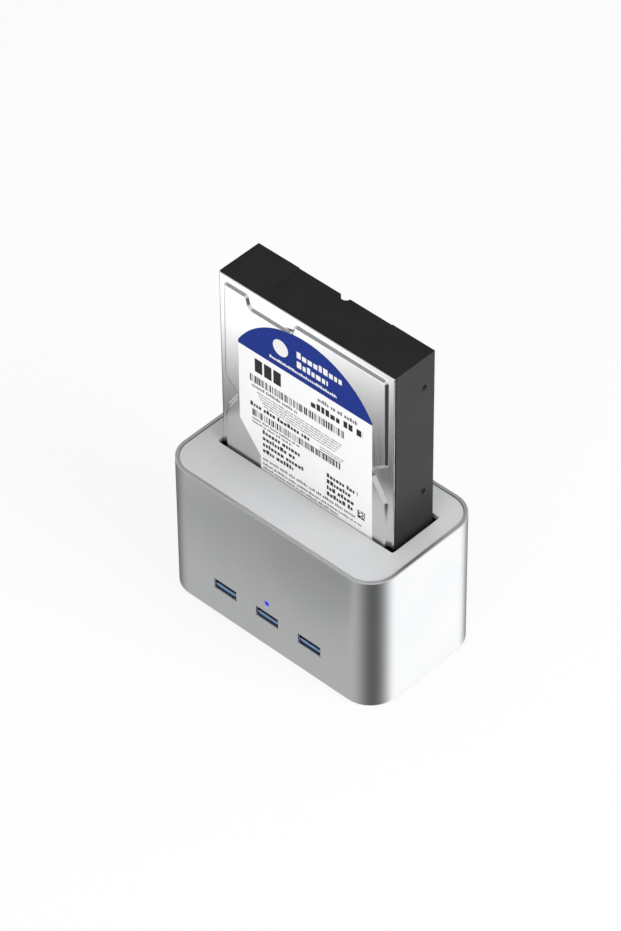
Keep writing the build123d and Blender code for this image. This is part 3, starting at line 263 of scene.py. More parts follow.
def polished(name, value):
    """A polished disc, with the faintest unevenness."""
    material, tree, shader = new_material(name)
    shade(shader, metallic=1.0)
    cloud = noise(tree, scale=25)
    tint(tree, shader, cloud, grey(value * 0.97), grey(value))
    roughen(tree, shader, cloud, low=0.05, high=0.08)
    return material


def turned(name, value, centre):
    """A face turned on a lathe: fine rings round its middle line, along Y."""
    material, tree, shader = new_material(name)
    shade(shader, metallic=1.0, roughness=0.34)
    tint(tree, shader, noise(tree, scale=160, detail=3), grey(value * 0.82), grey(value))
    ring_step = 0.09 * MM
    rings = worked(tree, "PINGPONG", distance_from(tree, centre), ring_step)
    bump(tree, shader, rings, distance=0.6, strength=0.25)
    return material


def circuit_board(name):
    """Solder mask over laminate, with winding copper tracks that show through it."""
    material, tree, shader = new_material(name)
    shade(shader, roughness=0.32, specular=0.6)
    fold = 0.06
    steps = worked(tree, "PINGPONG", noise(tree, scale=260, detail=1), fold)
    over_laminate = (0.008, 0.075, 0.03)
    over_copper = (0.016, 0.14, 0.055)
    green = ramp(tree, steps, 0.025, 0.034, over_laminate, over_copper)
    tree.links.new(green, shader.inputs["Base Color"])
    bump(tree, shader, steps, distance=0.03 * MM, strength=0.4)
    return material


def printed_film(name, color, specular=0.12):
    """Printed label film: matt, very slightly uneven."""
    material, tree, shader = new_material(name)
    shade(shader, specular=specular)
    fibre = noise(tree, scale=1500, detail=3)
    tint(tree, shader, fibre, dimmed(color, 0.97), color)
    roughen(tree, shader, fibre, low=0.4, high=0.5)
    return material


PIPE_RADIUS = 1.5 * MM
GLOW_START = 1.05 * MM
GLOW_END = 1.45 * MM
PIPE_BLUE = (0.006, 0.006, 0.3)
GLOW_BLUE = (0.25, 0.26, 0.85)
GLOW_STRENGTH = 0.6


def lamp_glass(name, node):
    """The lit end of the light pipe, deep blue with a pale glow at its rim."""
    material, tree, shader = new_material(name)
    shade(shader, roughness=0.25, specular=0.2)
    low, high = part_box(node)
    centre = ((low.x + high.x) / 2, low.y, high.z - PIPE_RADIUS)
    reach = distance_from(tree, centre)
    blue = ramp(tree, reach, GLOW_START, GLOW_END, PIPE_BLUE, GLOW_BLUE)
    tree.links.new(blue, shader.inputs["Base Color"])
    tree.links.new(blue, shader.inputs["Emission Color"])
    shader.inputs["Emission Strength"].default_value = GLOW_STRENGTH
    return material


def rubber(name):
    """Matt black rubber."""
    material, tree, shader = new_material(name)
    shade(shader, roughness=0.75, specular=0.3)
    grains = noise(tree, scale=1400, detail=3)
    tint(tree, shader, grains, grey(0.014), grey(0.028))
    bump(tree, shader, grains, distance=0.02 * MM, strength=0.5)
    return material


def felt(name):
    """The fibres of the air filter."""
    material, tree, shader = new_material(name)
    shade(shader, roughness=0.9)
    fibres = noise(tree, scale=2500, detail=4, stretch=(1, 0.2, 1))
    tint(tree, shader, fibres, grey(0.6), grey(0.85))
    bump(tree, shader, fibres, distance=0.08 * MM, strength=0.6)
    return material


motor_low, motor_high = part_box("spindle_motor_base")

case_finish = blasted("case_blasted", value=0.58, roughness=0.42)
plate_finish = blasted("plate_blasted", value=0.61, roughness=0.5, metallic=0.15)
black_plastic = moulded("black_moulding", grey(0.022), roughness=0.5)
connector_plastic = moulded("connector_moulding", grey(0.016), roughness=0.4)
tongue_plastic = moulded("tongue_blue", (0.018, 0.078, 0.205), roughness=0.35)
# A pale plastic that paints the highlight along the tongues' upper front edges
lip_painted_highlight = moulded("tongue_lip_painted_highlight", (0.3, 0.42, 0.55), roughness=0.3)
switch_plastic = moulded("switch_moulding", grey(0.012), roughness=0.3, grain=1800)
chip_plastic = moulded("chip_moulding", grey(0.018), roughness=0.6)
ramp_plastic = moulded("ramp_moulding", (0.72, 0.70, 0.64), roughness=0.4)
screw_metal = plated("screw_zinc", grey(0.42), roughness=0.3)
socket_metal = plated("socket_nickel", (0.62, 0.62, 0.63), roughness=0.25)
gold_metal = plated("contact_gold", (0.83, 0.6, 0.24), roughness=0.28)
turned_metal = plated("turned_aluminium", (0.7, 0.7, 0.72), roughness=0.32)
magnet_metal = plated("magnet_nickel", (0.6, 0.58, 0.55), roughness=0.25)
copper_wire = plated("coil_copper", (0.6, 0.28, 0.13), roughness=0.35)
# Dark metal for the threads, kept near-black as painted shade inside the side holes
thread_painted_shade = plated("thread_painted_shade", grey(0.07), roughness=0.5)
motor_metal = turned("motor_turned", value=0.36, centre=(motor_low + motor_high) / 2)
mirror_metal = polished("platter_mirror", value=0.8)
drive_cast = cast("drive_casting_black", grey(0.014), roughness=0.42)
cover_metal = stamped("cover_stamped", value=0.76, roughness=0.2)
board_mask = circuit_board("board_mask")
label_film = printed_film("label_film", grey(0.94), specular=0.4)
header_ink = printed_film("header_ink", (0.012, 0.034, 0.24), specular=0.05)
dark_ink = printed_film("dark_ink", grey(0.02))
grey_ink = printed_film("grey_ink", grey(0.16))
white_ink = printed_film("white_ink", grey(0.85))
flex_film = printed_film("flex_film", (0.36, 0.13, 0.025))
lit_blue = lamp_glass("lamp_blue", "led_light_pipe")
foot_rubber = rubber("foot_rubber")
filter_felt = felt("filter_felt")

finishes = {
    case_finish: ["outer_case"],
    plate_finish: ["top_plate"],
    black_plastic: ["drive_well", "base_plate"],
    connector_plastic: ["sata_socket", "power_inlet", "drive_plug"],
    tongue_plastic: [
        *("usb_tongue_" + side for side in SIDES),
        "rear_usb_insert",
    ],
    switch_plastic: ["switch_housing", "switch_rocker"],
    chip_plastic: [
        "bridge_chip",
        "hub_chip",
        "power_inductor",
        "drive_board_chips",
        "read_heads",
    ],
    ramp_plastic: ["parking_ramp", "led_chip"],
    screw_metal: [
        "well_screws",
        "base_screws",
        "board_screws",
        "drive_cover_screws",
        "drive_board_screws",
        "clamp_screws",
        "magnet_plate_lower",
        "magnet_plate_upper",
        "actuator_pivot_pin",
        "pivot_bearing",
    ],
    socket_metal: [
        *("usb_shell_" + side for side in SIDES),
        "rear_usb_shell",
        "power_inlet_pin",
        "switch_pins",
    ],
    gold_metal: ["usb_contacts", "sata_socket_contacts", "drive_plug_contacts"],
    turned_metal: [
        "capacitors",
        "crystal",
        "spindle_hub",
        "platter_spacer",
        "platter_clamp",
        "head_arms",
    ],
    motor_metal: ["spindle_motor_base"],
    magnet_metal: ["magnets"],
    copper_wire: ["voice_coil"],
    mirror_metal: ["platter_front", "platter_back"],
    drive_cast: ["drive_casting"],
    cover_metal: ["drive_cover"],
    board_mask: ["main_board", "drive_board"],
    label_film: ["drive_label"],
    lit_blue: ["led_light_pipe"],
    foot_rubber: ["rubber_feet", "drive_gasket"],
    filter_felt: ["air_filter"],
}
for finish, names in finishes.items():
    for name in names:
        nodes[name].data.materials.clear()
        nodes[name].data.materials.append(finish)


# Forms that the detail pieces share


def piece_from(name, build, material, body):
    """A mesh made by a bmesh builder, with its material and body."""
    mesh = bpy.data.meshes.new(name)
    form = bmesh.new()
    build(form)
    bmesh.ops.recalc_face_normals(form, faces=form.faces)
    form.to_mesh(mesh)
    form.free()
    piece = bpy.data.objects.new(name, mesh)
    bpy.context.scene.collection.objects.link(piece)
    mesh.materials.append(material)
    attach(piece, body)
    return piece


def prism(form, outline, y_back, y_front):
    """A flat prism over an outline of X and Z points, between two depths."""
    back = [form.verts.new((x, y_back, z)) for x, z in outline]
    front = [form.verts.new((x, y_front, z)) for x, z in outline]
    form.faces.new(front)
    form.faces.new(back[::-1])
    for index in range(len(outline)):
        following = (index + 1) % len(outline)
        form.faces.new((front[index], back[index], back[following], front[following]))


def bar(form, left, right, low, high, y_back, y_front):
    """A flat upright rectangle, between two depths."""
    prism(form, [(left, low), (right, low), (right, high), (left, high)], y_back, y_front)


def round_outline(x, z, radius, steps=CIRCLE_STEPS):
    """Points of a circle in X and Z."""
    angles = [2 * math.pi / steps * index for index in range(steps)]
    return [(x + radius * math.cos(angle), z + radius * math.sin(angle)) for angle in angles]


def ring_about(form, place, axis, radius, height, star=0.0, steps=CIRCLE_STEPS):
    """One ring of points round an axis; star is the share by which its lobes stand out."""
    side = TOWARDS_BACK if axis.x else RIGHT
    other = axis.cross(side).normalized()
    side = other.cross(axis).normalized()
    ring = []
    for index in range(steps):
        angle = 2 * math.pi * index / steps
        reach = radius * (1 + star * math.cos(STAR_LOBES * angle))
        point = place + side * (reach * math.cos(angle)) + other * (reach * math.sin(angle))
        ring.append(form.verts.new(point + axis * height))
    return ring


def band(form, low, high):
    """Faces between two rings of equal count."""
    for index in range(len(low)):
        following = (index + 1) % len(low)
        form.faces.new((low[index], low[following], high[following], high[index]))


def skin(form, rings):
    """Faces between rings of equal count, with both ends closed."""
    for low, high in zip(rings, rings[1:]):
        band(form, low, high)
    form.faces.new(rings[0][::-1])
    form.faces.new(rings[-1])


# The print on the label


# Rows in millimetres: the left and right ends from the label's middle, the drop
# from the drive's end to the row's top, and the row's height
BIG_ROW = (-29, -12.5, 35.6, 7.6)
BOLD_ROWS = [
    (4, 34, 39.6, 3.6),
    (-32, 3, 62.0, 2.3),
    (-25, -3, 75.0, 2.3),
    (-25, -6, 78.6, 2.3),
    (-25, -1, 82.2, 2.3),
    (-25, -7, 85.8, 2.3),
    (13, 31, 76.4, 2.3),
    (13, 27, 80.0, 2.3),
    (13, 29, 83.6, 2.3),
    (13, 28, 87.2, 2.3),
    (-25, 2, 108.0, 2.6),
]
PLAIN_ROWS = [
    (8, 31, 35.6, 2.1),
    (-31, -4, 51.2, 1.7),
    (-31, -3, 70.6, 1.3),
    (-31, -8, 72.7, 1.3),
    (-25, 30, 91.2, 1.5),
    (-25, 34, 94.4, 1.2),
    (-25, 20, 96.6, 1.2),
    (-25, 34, 112.6, 1.2),
    (-25, 30, 114.8, 1.2),
    (-25, 12, 117.0, 1.2),
]
FINE_ROWS = [(-28 + index, 22 - index, 54.4 + 1.5 * index, 0.75) for index in range(5)]
FINE_ROWS += [(9, 23 - index, 63.0 + 1.4 * index, 0.7) for index in range(3)]
CODE_ROWS = [(-32, 23, 46.0, 4.2), (-31, 21, 66.0, 3.8), (-25, 34, 100.0, 5.6)]
TITLE_ROWS = [(-4, 22, 16.6, 3.6), (-4, 14, 22.0, 3.6), (-20, 19, 27.9, 1.5)]

# The square code's left, right and drop, and the dot's place, drop and radius
SQUARE_CODE = (31, 35.4, 86.6)
HEADER_DOT = (-13.5, 20.6, 4.4)

HEADER_DROP = 23.9 * MM
HEADER_REACH = 0.1 * MM

BIG_BLOCKS = 3
BIG_BLOCK_SHARE = 0.8
BOLD_WEIGHT = 1.25
BLOCK_WIDTH_SHARES = (0.32, 0.62)
BLOCK_HEIGHT_SHARES = (0.72, 0.72, 1.0)
BLOCK_GAP_SHARE = 0.2
FIRST_WORD = (3, 8)
NEXT_WORD = (2, 8)
WORD_GAP_SHARE = 0.45
TITLE_WIDTH_SHARES = (0.45, 0.75)
TITLE_HEIGHT_SHARES = (0.75, 1.0)
TITLE_GAP_SHARE = 0.22
STRIPE = 0.27 * MM
STRIPE_COUNTS = (1, 1, 2, 3)
SQUARE_CELLS = 8
CELL_CHANCE = 0.45
DARK_PRINT_SEED = 11
GREY_PRINT_SEED = 23
HEADER_PRINT_SEED = 5

INK = 0.03 * MM
label_face = label_low.y
ink_front = label_face - INK
header_front = ink_front - INK
label_radius = label_high.z - spindle_z
header_line = label_high.z - HEADER_DROP
drive_end = drive_high.z


def row_place(row):
    """A row's left and right ends, its base line and its height, in metres."""
    left, right, drop, height = (value * MM for value in row)
    return left, right, drive_end - drop - height, height


def build_header(form):
    """The blue header: the label's round top above a straight line."""
    radius = label_radius + HEADER_REACH
    low_angle = math.asin((header_line - spindle_z) / radius)
    begin = max(math.acos(label_high.x / radius), low_angle)
    end = math.pi - max(math.acos(-label_low.x / radius), low_angle)
    arc = []
    for index in range(CIRCLE_STEPS + 1):
        angle = begin + (end - begin) * index / CIRCLE_STEPS
        arc.append((radius * math.cos(angle), spindle_z + radius * math.sin(angle)))
    outline = [(arc[0][0], header_line)] + arc + [(arc[-1][0], header_line)]
    prism(form, outline, label_high.y, ink_front)


def build_blocks(form, row, chance, weight):
    """A row of blank blocks with the rhythm of words, none of them a letter."""
    x, right, base, height = row_place(row)
    run = chance.randint(*FIRST_WORD)
    while x < right:
        width = height * chance.uniform(*BLOCK_WIDTH_SHARES) * weight
        tall = height * chance.choice(BLOCK_HEIGHT_SHARES)
        bar(form, x, min(x + width, right), base, base + tall, label_face, ink_front)
        x += width + height * BLOCK_GAP_SHARE
        run -= 1
        if run == 0:
            x += height * WORD_GAP_SHARE
            run = chance.randint(*NEXT_WORD)


def build_title(form, row, chance):
    """A row of even blank blocks on the header."""
    x, right, base, height = row_place(row)
    while x < right:
        width = height * chance.uniform(*TITLE_WIDTH_SHARES)
        tall = height * chance.choice(TITLE_HEIGHT_SHARES)
        bar(form, x, min(x + width, right), base, base + tall, ink_front, header_front)
        x += width + height * TITLE_GAP_SHARE


def build_stripes(form, row, chance):
    """A striped code of upright bars of a few widths."""
    x, right, base, height = row_place(row)
    while x < right:
        width = STRIPE * chance.choice(STRIPE_COUNTS)
        bar(form, x, x + width, base, base + height, label_face, ink_front)
        x += width + STRIPE * chance.choice(STRIPE_COUNTS)


def build_cells(form, chance):
    """A small square code: a frame on two sides and scattered cells."""
    left, right, drop = (value * MM for value in SQUARE_CODE)
    side = (right - left) / SQUARE_CELLS
    top = drive_end - drop
    for row in range(SQUARE_CELLS):
        for column in range(SQUARE_CELLS):
            edge = column == 0 or row == SQUARE_CELLS - 1
            if edge or chance.random() < CELL_CHANCE:
                x = left + column * side
                z = top - (row + 1) * side
                bar(form, x, x + side, z, z + side, label_face, ink_front)


def build_dark_print(form):
    """The big blocks, the bold rows and the codes."""
    chance = random.Random(DARK_PRINT_SEED)
    left, right, base, height = row_place(BIG_ROW)
    pitch = (right - left) / BIG_BLOCKS
    for index in range(BIG_BLOCKS):
        x = left + index * pitch
        bar(form, x, x + pitch * BIG_BLOCK_SHARE, base, base + height, label_face, ink_front)
    for row in BOLD_ROWS:
        build_blocks(form, row, chance, BOLD_WEIGHT)
    for row in CODE_ROWS:
        build_stripes(form, row, chance)
    build_cells(form, chance)


def build_grey_print(form):
    """The plain and the fine rows."""
    chance = random.Random(GREY_PRINT_SEED)
    for row in PLAIN_ROWS + FINE_ROWS:
        build_blocks(form, row, chance, 1.0)


def build_header_print(form):
    """A plain dot and blank title rows on the header."""
    chance = random.Random(HEADER_PRINT_SEED)
    x, drop, radius = (value * MM for value in HEADER_DOT)
    prism(form, round_outline(x, drive_end - drop, radius), ink_front, header_front)
    for row in TITLE_ROWS:
        build_title(form, row, chance)


piece_from("label_header", build_header, header_ink, "drive")
piece_from("label_dark_print", build_dark_print, dark_ink, "drive")
piece_from("label_grey_print", build_grey_print, grey_ink, "drive")
piece_from("label_header_print", build_header_print, white_ink, "drive")


# Screws with their drive recess, in place of the plain heads


SHANK_SHARE = 0.5
HEAD_EDGE_SHARE = 0.35
RECESS_SHARE = 0.42
RECESS_STAR_SHARE = 0.12
RECESS_MOUTH_SHARE = 1.08
RECESS_NECK_DEPTH_SHARE = 0.12
RECESS_FLOOR_SHARE = 0.92
RECESS_DEPTH_SHARE = 0.8
SAME_POINT = 0.0001 * MM
SORT_DIGITS = 5


def build_screw(form, place, axis, head, head_height, length, recess, sunk=False):
    """A screw whose head starts at place and points along axis, its shank behind."""
    shank = head * SHANK_SHARE
    edge = head_height * HEAD_EDGE_SHARE
    if sunk:
        top = 0
        profile = [(shank, -length), (shank, shank - head), (head, 0)]
    else:
        top = head_height
        profile = [(shank, -length), (shank, 0), (head, 0), (head, top - edge), (head - edge, top)]
    rings = [ring_about(form, place, axis, radius, height) for radius, height in profile]
    recess_profile = [
        (recess * RECESS_MOUTH_SHARE, top),
        (recess, top - recess * RECESS_NECK_DEPTH_SHARE),
        (recess * RECESS_FLOOR_SHARE, top - recess * RECESS_DEPTH_SHARE),
    ]
    for radius, height in recess_profile:
        rings.append(ring_about(form, place, axis, radius, height, RECESS_STAR_SHARE))
    skin(form, rings)


def solid_boxes(name):
    """The boxes of a node's separate solids, as lowest and highest corners."""
    form = bmesh.new()
    form.from_mesh(nodes[name].data)
    bmesh.ops.remove_doubles(form, verts=form.verts, dist=SAME_POINT)
    unseen = set(form.verts)
    boxes = []
    while unseen:
        stack = [unseen.pop()]
        found = list(stack)
        while stack:
            vert = stack.pop()
            for edge in vert.link_edges:
                other = edge.other_vert(vert)
                if other in unseen:
                    unseen.discard(other)
                    stack.append(other)
                    found.append(other)
        low = Vector([min(vert.co[axis] for vert in found) for axis in range(3)])
        high = Vector([max(vert.co[axis] for vert in found) for axis in range(3)])
        boxes.append((low, high))
    form.free()
    boxes.sort(key=lambda box: tuple(round(value, SORT_DIGITS) for value in box[0]))
    return boxes


def screws_from(name, axis, head_height, body, sunk=False):
    """Replaces a node of plain screws with screws that have a recess."""

    def build(form):
        """Every screw of the node."""
        for low, high in solid_boxes(name):
            across = [high[i] - low[i] for i in range(3) if not axis[i]]
            head = max(across) / 2
            span = abs((high - low).dot(axis))
            place = (low + high) / 2 + axis * (span / 2)
            length = span
            if not sunk:
                place -= axis * head_height
                length -= head_height
            build_screw(form, place, axis, head, head_height, length, head * RECESS_SHARE, sunk)

    piece = piece_from(name + "_with_recess", build, screw_metal, body)
    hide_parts(name)


screws_from("drive_board_screws", TOWARDS_BACK, head_height=0.5 * MM, body="drive")
screws_from("drive_cover_screws", TOWARDS_FRONT, head_height=0.7 * MM, body="drive")
screws_from("base_screws", DOWN, head_height=1.3 * MM, body="dock", sunk=True)
screws_from("board_screws", DOWN, head_height=1.2 * MM, body="dock")


# The front sockets' spring tongues, and on each blue tongue a rib whose pale colour is a painted
# highlight


SPRING_WIDTH = 1.9 * MM
SPRING_LENGTH = 4.2 * MM
SPRING_START = 3.0 * MM
SPRING_SHEET = 0.18 * MM
SPRING_PLACE = 3.1 * MM
UPPER_SPRING_RISE = 0.55 * MM
LOWER_SPRING_RISE = 0.33 * MM
SPRING_TAPER_SHARE = 0.25
SPRING_STEPS = 8
SHELL_SHEET = 0.3 * MM

TONGUE_TOP = 2.8 * MM
LIP_HEIGHT = 0.42 * MM
LIP_PROUD = 0.08 * MM
LIP_CREST = 0.28 * MM
LIP_DEPTH = 0.4 * MM
LIP_INSET = 0.3 * MM


def build_springs(form, shell):
    """Four bowed spring tongues inside one socket's shell."""
    low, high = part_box(shell)
    faces = (
        (high.z - SHELL_SHEET, -UPPER_SPRING_RISE, -SPRING_SHEET),
        (low.z + SHELL_SHEET, LOWER_SPRING_RISE, SPRING_SHEET),
    )
    for side in (-1, 1):
        x = (low.x + high.x) / 2 + side * SPRING_PLACE
        for face, rise, sheet in faces:
            rows = []
            for index in range(SPRING_STEPS + 1):
                share = index / SPRING_STEPS
                y = low.y + SPRING_START + SPRING_LENGTH * share
                half = SPRING_WIDTH / 2 * (1 - SPRING_TAPER_SHARE * share)
                outer = face + rise * math.sin(math.pi * share)
                inner = outer + sheet
                rows.append([
                    form.verts.new((x - half, y, outer)),
                    form.verts.new((x + half, y, outer)),
                    form.verts.new((x + half, y, inner)),
                    form.verts.new((x - half, y, inner)),
                ])
            skin(form, rows)


def build_highlight_lips(form):
    """A rib along the front of each tongue, under its upper edge, whose pale colour is a painted
    highlight of that edge.
    """
    for place in SIDES:
        low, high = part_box("usb_tongue_" + place)
        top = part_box("usb_shell_" + place)[0].z + TONGUE_TOP
        rows = []
        for x in (low.x + LIP_INSET, high.x - LIP_INSET):
            rows.append([
                form.verts.new((x, low.y, top - LIP_HEIGHT)),
                form.verts.new((x, low.y - LIP_PROUD, top - LIP_CREST)),
                form.verts.new((x, low.y + LIP_PROUD, top)),
                form.verts.new((x, low.y + LIP_DEPTH, top + LIP_PROUD / 2)),
                form.verts.new((x, low.y + LIP_DEPTH, top - LIP_HEIGHT)),
            ])
        skin(form, rows)


for side in SIDES:
    piece_from(
        "usb_springs_" + side,
        lambda form, shell="usb_shell_" + side: build_springs(form, shell),
        socket_metal,
        "dock",
    )


# The line and the ring on the rocker's two halves


MARK_PLACE = 2.6 * MM
MARK_GAP = 0.02 * MM
MARK_THICKNESS = 0.05 * MM
LINE_HALF_WIDTH = 0.22 * MM
LINE_HALF_LENGTH = 1.1 * MM
MARK_RING_OUTER = 1.15 * MM
MARK_RING_INNER = 0.8 * MM
MARK_RING_STEPS = 32
LOOKS_BACK = 0.5


def build_line_mark(form, centre, across, thick):
    """A short upright line on a face."""
    wide = across * LINE_HALF_WIDTH
    tall = UP * LINE_HALF_LENGTH
    corners = [centre - wide - tall, centre + wide - tall, centre + wide + tall, centre - wide + tall]
    back = [form.verts.new(point) for point in corners]
    front = [form.verts.new(point + thick) for point in corners]
    skin(form, [back, front])


def build_ring_mark(form, centre, across, thick):
    """A ring on a face."""
    profile = ((MARK_RING_OUTER, 0), (MARK_RING_OUTER, 1), (MARK_RING_INNER, 1), (MARK_RING_INNER, 0))
    rings = []
    for radius, lift in profile:
        ring = []
        for index in range(MARK_RING_STEPS):
            angle = 2 * math.pi * index / MARK_RING_STEPS
            point = centre + across * (radius * math.cos(angle)) + UP * (radius * math.sin(angle))
            ring.append(form.verts.new(point + thick * lift))
        rings.append(ring)
    for low, high in zip(rings, rings[1:] + rings[:1]):
        band(form, low, high)


def build_switch_marks(form):
    """Both marks, just proud of the rocker's faces."""
    housing_low, housing_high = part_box("switch_housing")
    middle = (housing_low + housing_high) / 2
    rocker = nodes["switch_rocker"].data
    polygons = [face for face in rocker.polygons if face.normal.y > LOOKS_BACK]
    for side, build in ((-1, build_ring_mark), (1, build_line_mark)):
        faces = [face for face in polygons if (face.center.x - middle.x) * side > 0]
        face = max(faces, key=lambda polygon: polygon.area)
        normal = face.normal.copy()
        across = UP.cross(normal).normalized()
        centre = face.center.copy()
        centre += across * ((middle.x + side * MARK_PLACE - centre.x) / across.x)
        centre.z = middle.z
        build(form, centre + normal * MARK_GAP, across, normal * MARK_THICKNESS)


piece_from("switch_marks", build_switch_marks, white_ink, "rocker")
# The ribs' pale colour is a painted highlight on the tongues' upper front edges
piece_from("usb_tongue_lips", build_highlight_lips, lip_painted_highlight, "dock")


# The threads in the casting's side holes


THREAD_OUTER = 1.34 * MM
THREAD_INNER = 1.12 * MM
THREAD_PITCH = 0.5 * MM
THREAD_TURNS = 5
THREAD_LEAD = 0.35 * MM
THREAD_STEPS = 24
HOLE_SETBACK = 6.35 * MM
HOLE_RISES = (28.5 * MM, 70.1 * MM, 130.1 * MM)


def build_threads(form):
    """The threads as rings cut into the wall of each hole."""
    for x, axis in ((drive_low.x, RIGHT), (drive_high.x, LEFT)):
        for rise in HOLE_RISES:
            start = Vector((x, drive_high.y - HOLE_SETBACK, drive_low.z + rise))
            rings = []
            for turn in range(THREAD_TURNS):
                depth = THREAD_LEAD + turn * THREAD_PITCH
                for radius, height in ((THREAD_OUTER, depth), (THREAD_INNER, depth + THREAD_PITCH / 2)):
                    rings.append(ring_about(form, start, axis, radius, height, steps=THREAD_STEPS))
            for low, high in zip(rings, rings[1:]):
                band(form, low, high)


piece_from("side_hole_threads", build_threads, thread_painted_shade, "drive")


# The drive's back: motor screws, the motor's flex and the board's test pads


FLANGE_DEPTH = 1.1 * MM
FLANGE_SCREW_CIRCLE = 15.8 * MM
FLANGE_SCREW_ANGLES = (90, 210, 330)
FLANGE_SCREW_HEAD = 1.35 * MM
FLANGE_SCREW_RISE = 0.45 * MM
FLANGE_SCREW_LENGTH = 0.3 * MM
FLANGE_RECESS_SHARE = 0.5

PAD_SHEET = 0.04 * MM
PAD_STEPS = 20
EDGE_PADS = 14
EDGE_PAD_START = -38.5 * MM
EDGE_PAD_PITCH = 2.54 * MM
EDGE_PAD_DROP = 3.2 * MM
EDGE_PAD_RADIUS = 0.55 * MM
VIA_ROWS = 3
VIA_COLUMNS = 9
VIA_START = -30 * MM
VIA_PITCH = 3.6 * MM
VIA_STAGGER = 0.9 * MM
VIA_DROP = 6.2 * MM
VIA_ROW_PITCH = 2.3 * MM
VIA_RADII = (0.3 * MM, 0.3 * MM, 0.5 * MM)
VIA_CHANCE = 0.72
VIA_SEED = 31
LOW_PADS = 7
LOW_PAD_START = 17 * MM
LOW_PAD_PITCH = 3.1 * MM
LOW_PAD_DROP = 16.4 * MM
LOW_PAD_RADIUS = 0.4 * MM

FLEX_HALF = 3.2 * MM
FLEX_SHEET = 0.12 * MM
FLEX_DROP = 18.5 * MM
FLEX_OVERLAP = 0.9 * MM
MOTOR_PAD_DEPTH = 0.7 * MM
MOTOR_PAD_REACH = 31.0 * MM
MOTOR_PAD_EDGE = 0.2 * MM
MOTOR_PAD_SLOPE = 0.7 * MM
FIELD_DEPTH = 1.6 * MM
TRACKS = 4
TRACK_START = -2.1 * MM
TRACK_PITCH = 1.4 * MM
TRACK_HALF = 0.28 * MM
TRACK_DROP = 18.8 * MM
TRACK_END = 0.6 * MM

motor_pad_face = drive_high.y - MOTOR_PAD_DEPTH
motor_pad_end = spindle_z - MOTOR_PAD_REACH


def build_motor_screws(form):
    """The screws round the motor's flange."""
    for degrees in FLANGE_SCREW_ANGLES:
        angle = math.radians(degrees)
        x = FLANGE_SCREW_CIRCLE * math.cos(angle)
        z = spindle_z + FLANGE_SCREW_CIRCLE * math.sin(angle)
        place = Vector((x, drive_high.y - FLANGE_DEPTH, z))
        recess = FLANGE_SCREW_HEAD * FLANGE_RECESS_SHARE
        size = (FLANGE_SCREW_HEAD, FLANGE_SCREW_RISE, FLANGE_SCREW_LENGTH, recess)
        build_screw(form, place, TOWARDS_BACK, *size)


def pad_disc(form, x, drop, radius):
    """A thin round pad on the board's outer face."""
    outline = round_outline(x, board_high.z - drop, radius, PAD_STEPS)
    prism(form, outline, board_high.y, board_high.y + PAD_SHEET)


def build_test_pads(form):
    """Round test pads and rows of small vias on the board's outer face."""
    chance = random.Random(VIA_SEED)
    for column in range(EDGE_PADS):
        pad_disc(form, EDGE_PAD_START + column * EDGE_PAD_PITCH, EDGE_PAD_DROP, EDGE_PAD_RADIUS)
    for row in range(VIA_ROWS):
        for column in range(VIA_COLUMNS):
            x = VIA_START + column * VIA_PITCH + row * VIA_STAGGER
            if chance.random() < VIA_CHANCE:
                pad_disc(form, x, VIA_DROP + row * VIA_ROW_PITCH, chance.choice(VIA_RADII))
    for column in range(LOW_PADS):
        pad_disc(form, LOW_PAD_START + column * LOW_PAD_PITCH, LOW_PAD_DROP, LOW_PAD_RADIUS)


def build_motor_flex(form):
    """The flat flex that runs from under the motor's flange down to the board."""
    field_face = drive_high.y - FIELD_DEPTH
    path = [
        (spindle_z - FLEX_DROP, motor_pad_face),
        (motor_pad_end + MOTOR_PAD_EDGE, motor_pad_face),
        (motor_pad_end - MOTOR_PAD_SLOPE, field_face),
        (board_high.z + FLEX_OVERLAP, field_face),
    ]
    rings = []
    for z, face in path:
        back = face + FLEX_SHEET
        rings.append([
            form.verts.new((-FLEX_HALF, face, z)),
            form.verts.new((FLEX_HALF, face, z)),
            form.verts.new((FLEX_HALF, back, z)),
            form.verts.new((-FLEX_HALF, back, z)),
        ])
    skin(form, rings)


def build_flex_tracks(form):
    """Bright tracks on the flex."""
    face = motor_pad_face + FLEX_SHEET
    low = motor_pad_end + TRACK_END
    high = spindle_z - TRACK_DROP
    for index in range(TRACKS):
        x = TRACK_START + index * TRACK_PITCH
        bar(form, x - TRACK_HALF, x + TRACK_HALF, low, high, face, face + PAD_SHEET)


piece_from("motor_screws", build_motor_screws, screw_metal, "drive")
piece_from("board_test_pads", build_test_pads, gold_metal, "drive")
piece_from("motor_flex", build_motor_flex, flex_film, "drive")
piece_from("motor_flex_tracks", build_flex_tracks, gold_metal, "drive")


# The floor, the low card, the lamps and the world


FLOOR_HALF = 6.0
FLOOR_GREY = 0.8
FLOOR_CAMERA_SHARE = 0.86

# A low card that only reflections show: its outline in X and Y, and its
# brightness along a line that runs to the front and a little to the left
CARD_HEIGHT = 0.002
CARD_OUTLINE = (
    (0.02, -0.085),
    (-0.1, -0.085),
    (-0.13, -0.045),
    (-0.48, -0.045),
    (-0.48, -0.585),
    (0.02, -0.585),
)
CARD_LINE = (-0.45, -1, 0)
CARD_GREY_START = 0.13
CARD_GREY_END = 0.178
CARD_WHITE_END = 0.2
CARD_LEVELS = (0.1, 0.68, 1.7)

# What reflections show all round: an even white with soft round cards in it,
# each with its azimuth, elevation, sharpness and strength. Below 0 it is dark.
REFLECTED_WHITE = 1.0
REFLECTED_LEAST = 0.06
REFLECTED_CARDS = [
    (140, -48, 12, 1.95),
    (55, -41, 4, -1.2),
    (-43, -43, 14, -0.14),
    (-130, -42, 5, -2.2),
    (182, -42, 7, -0.8),
    (-136, 43, 9, -0.7),
    (-37, 32, 10, -0.7),
]
SKY_GREY = 0.62
SEEN_WHITE = 1.0

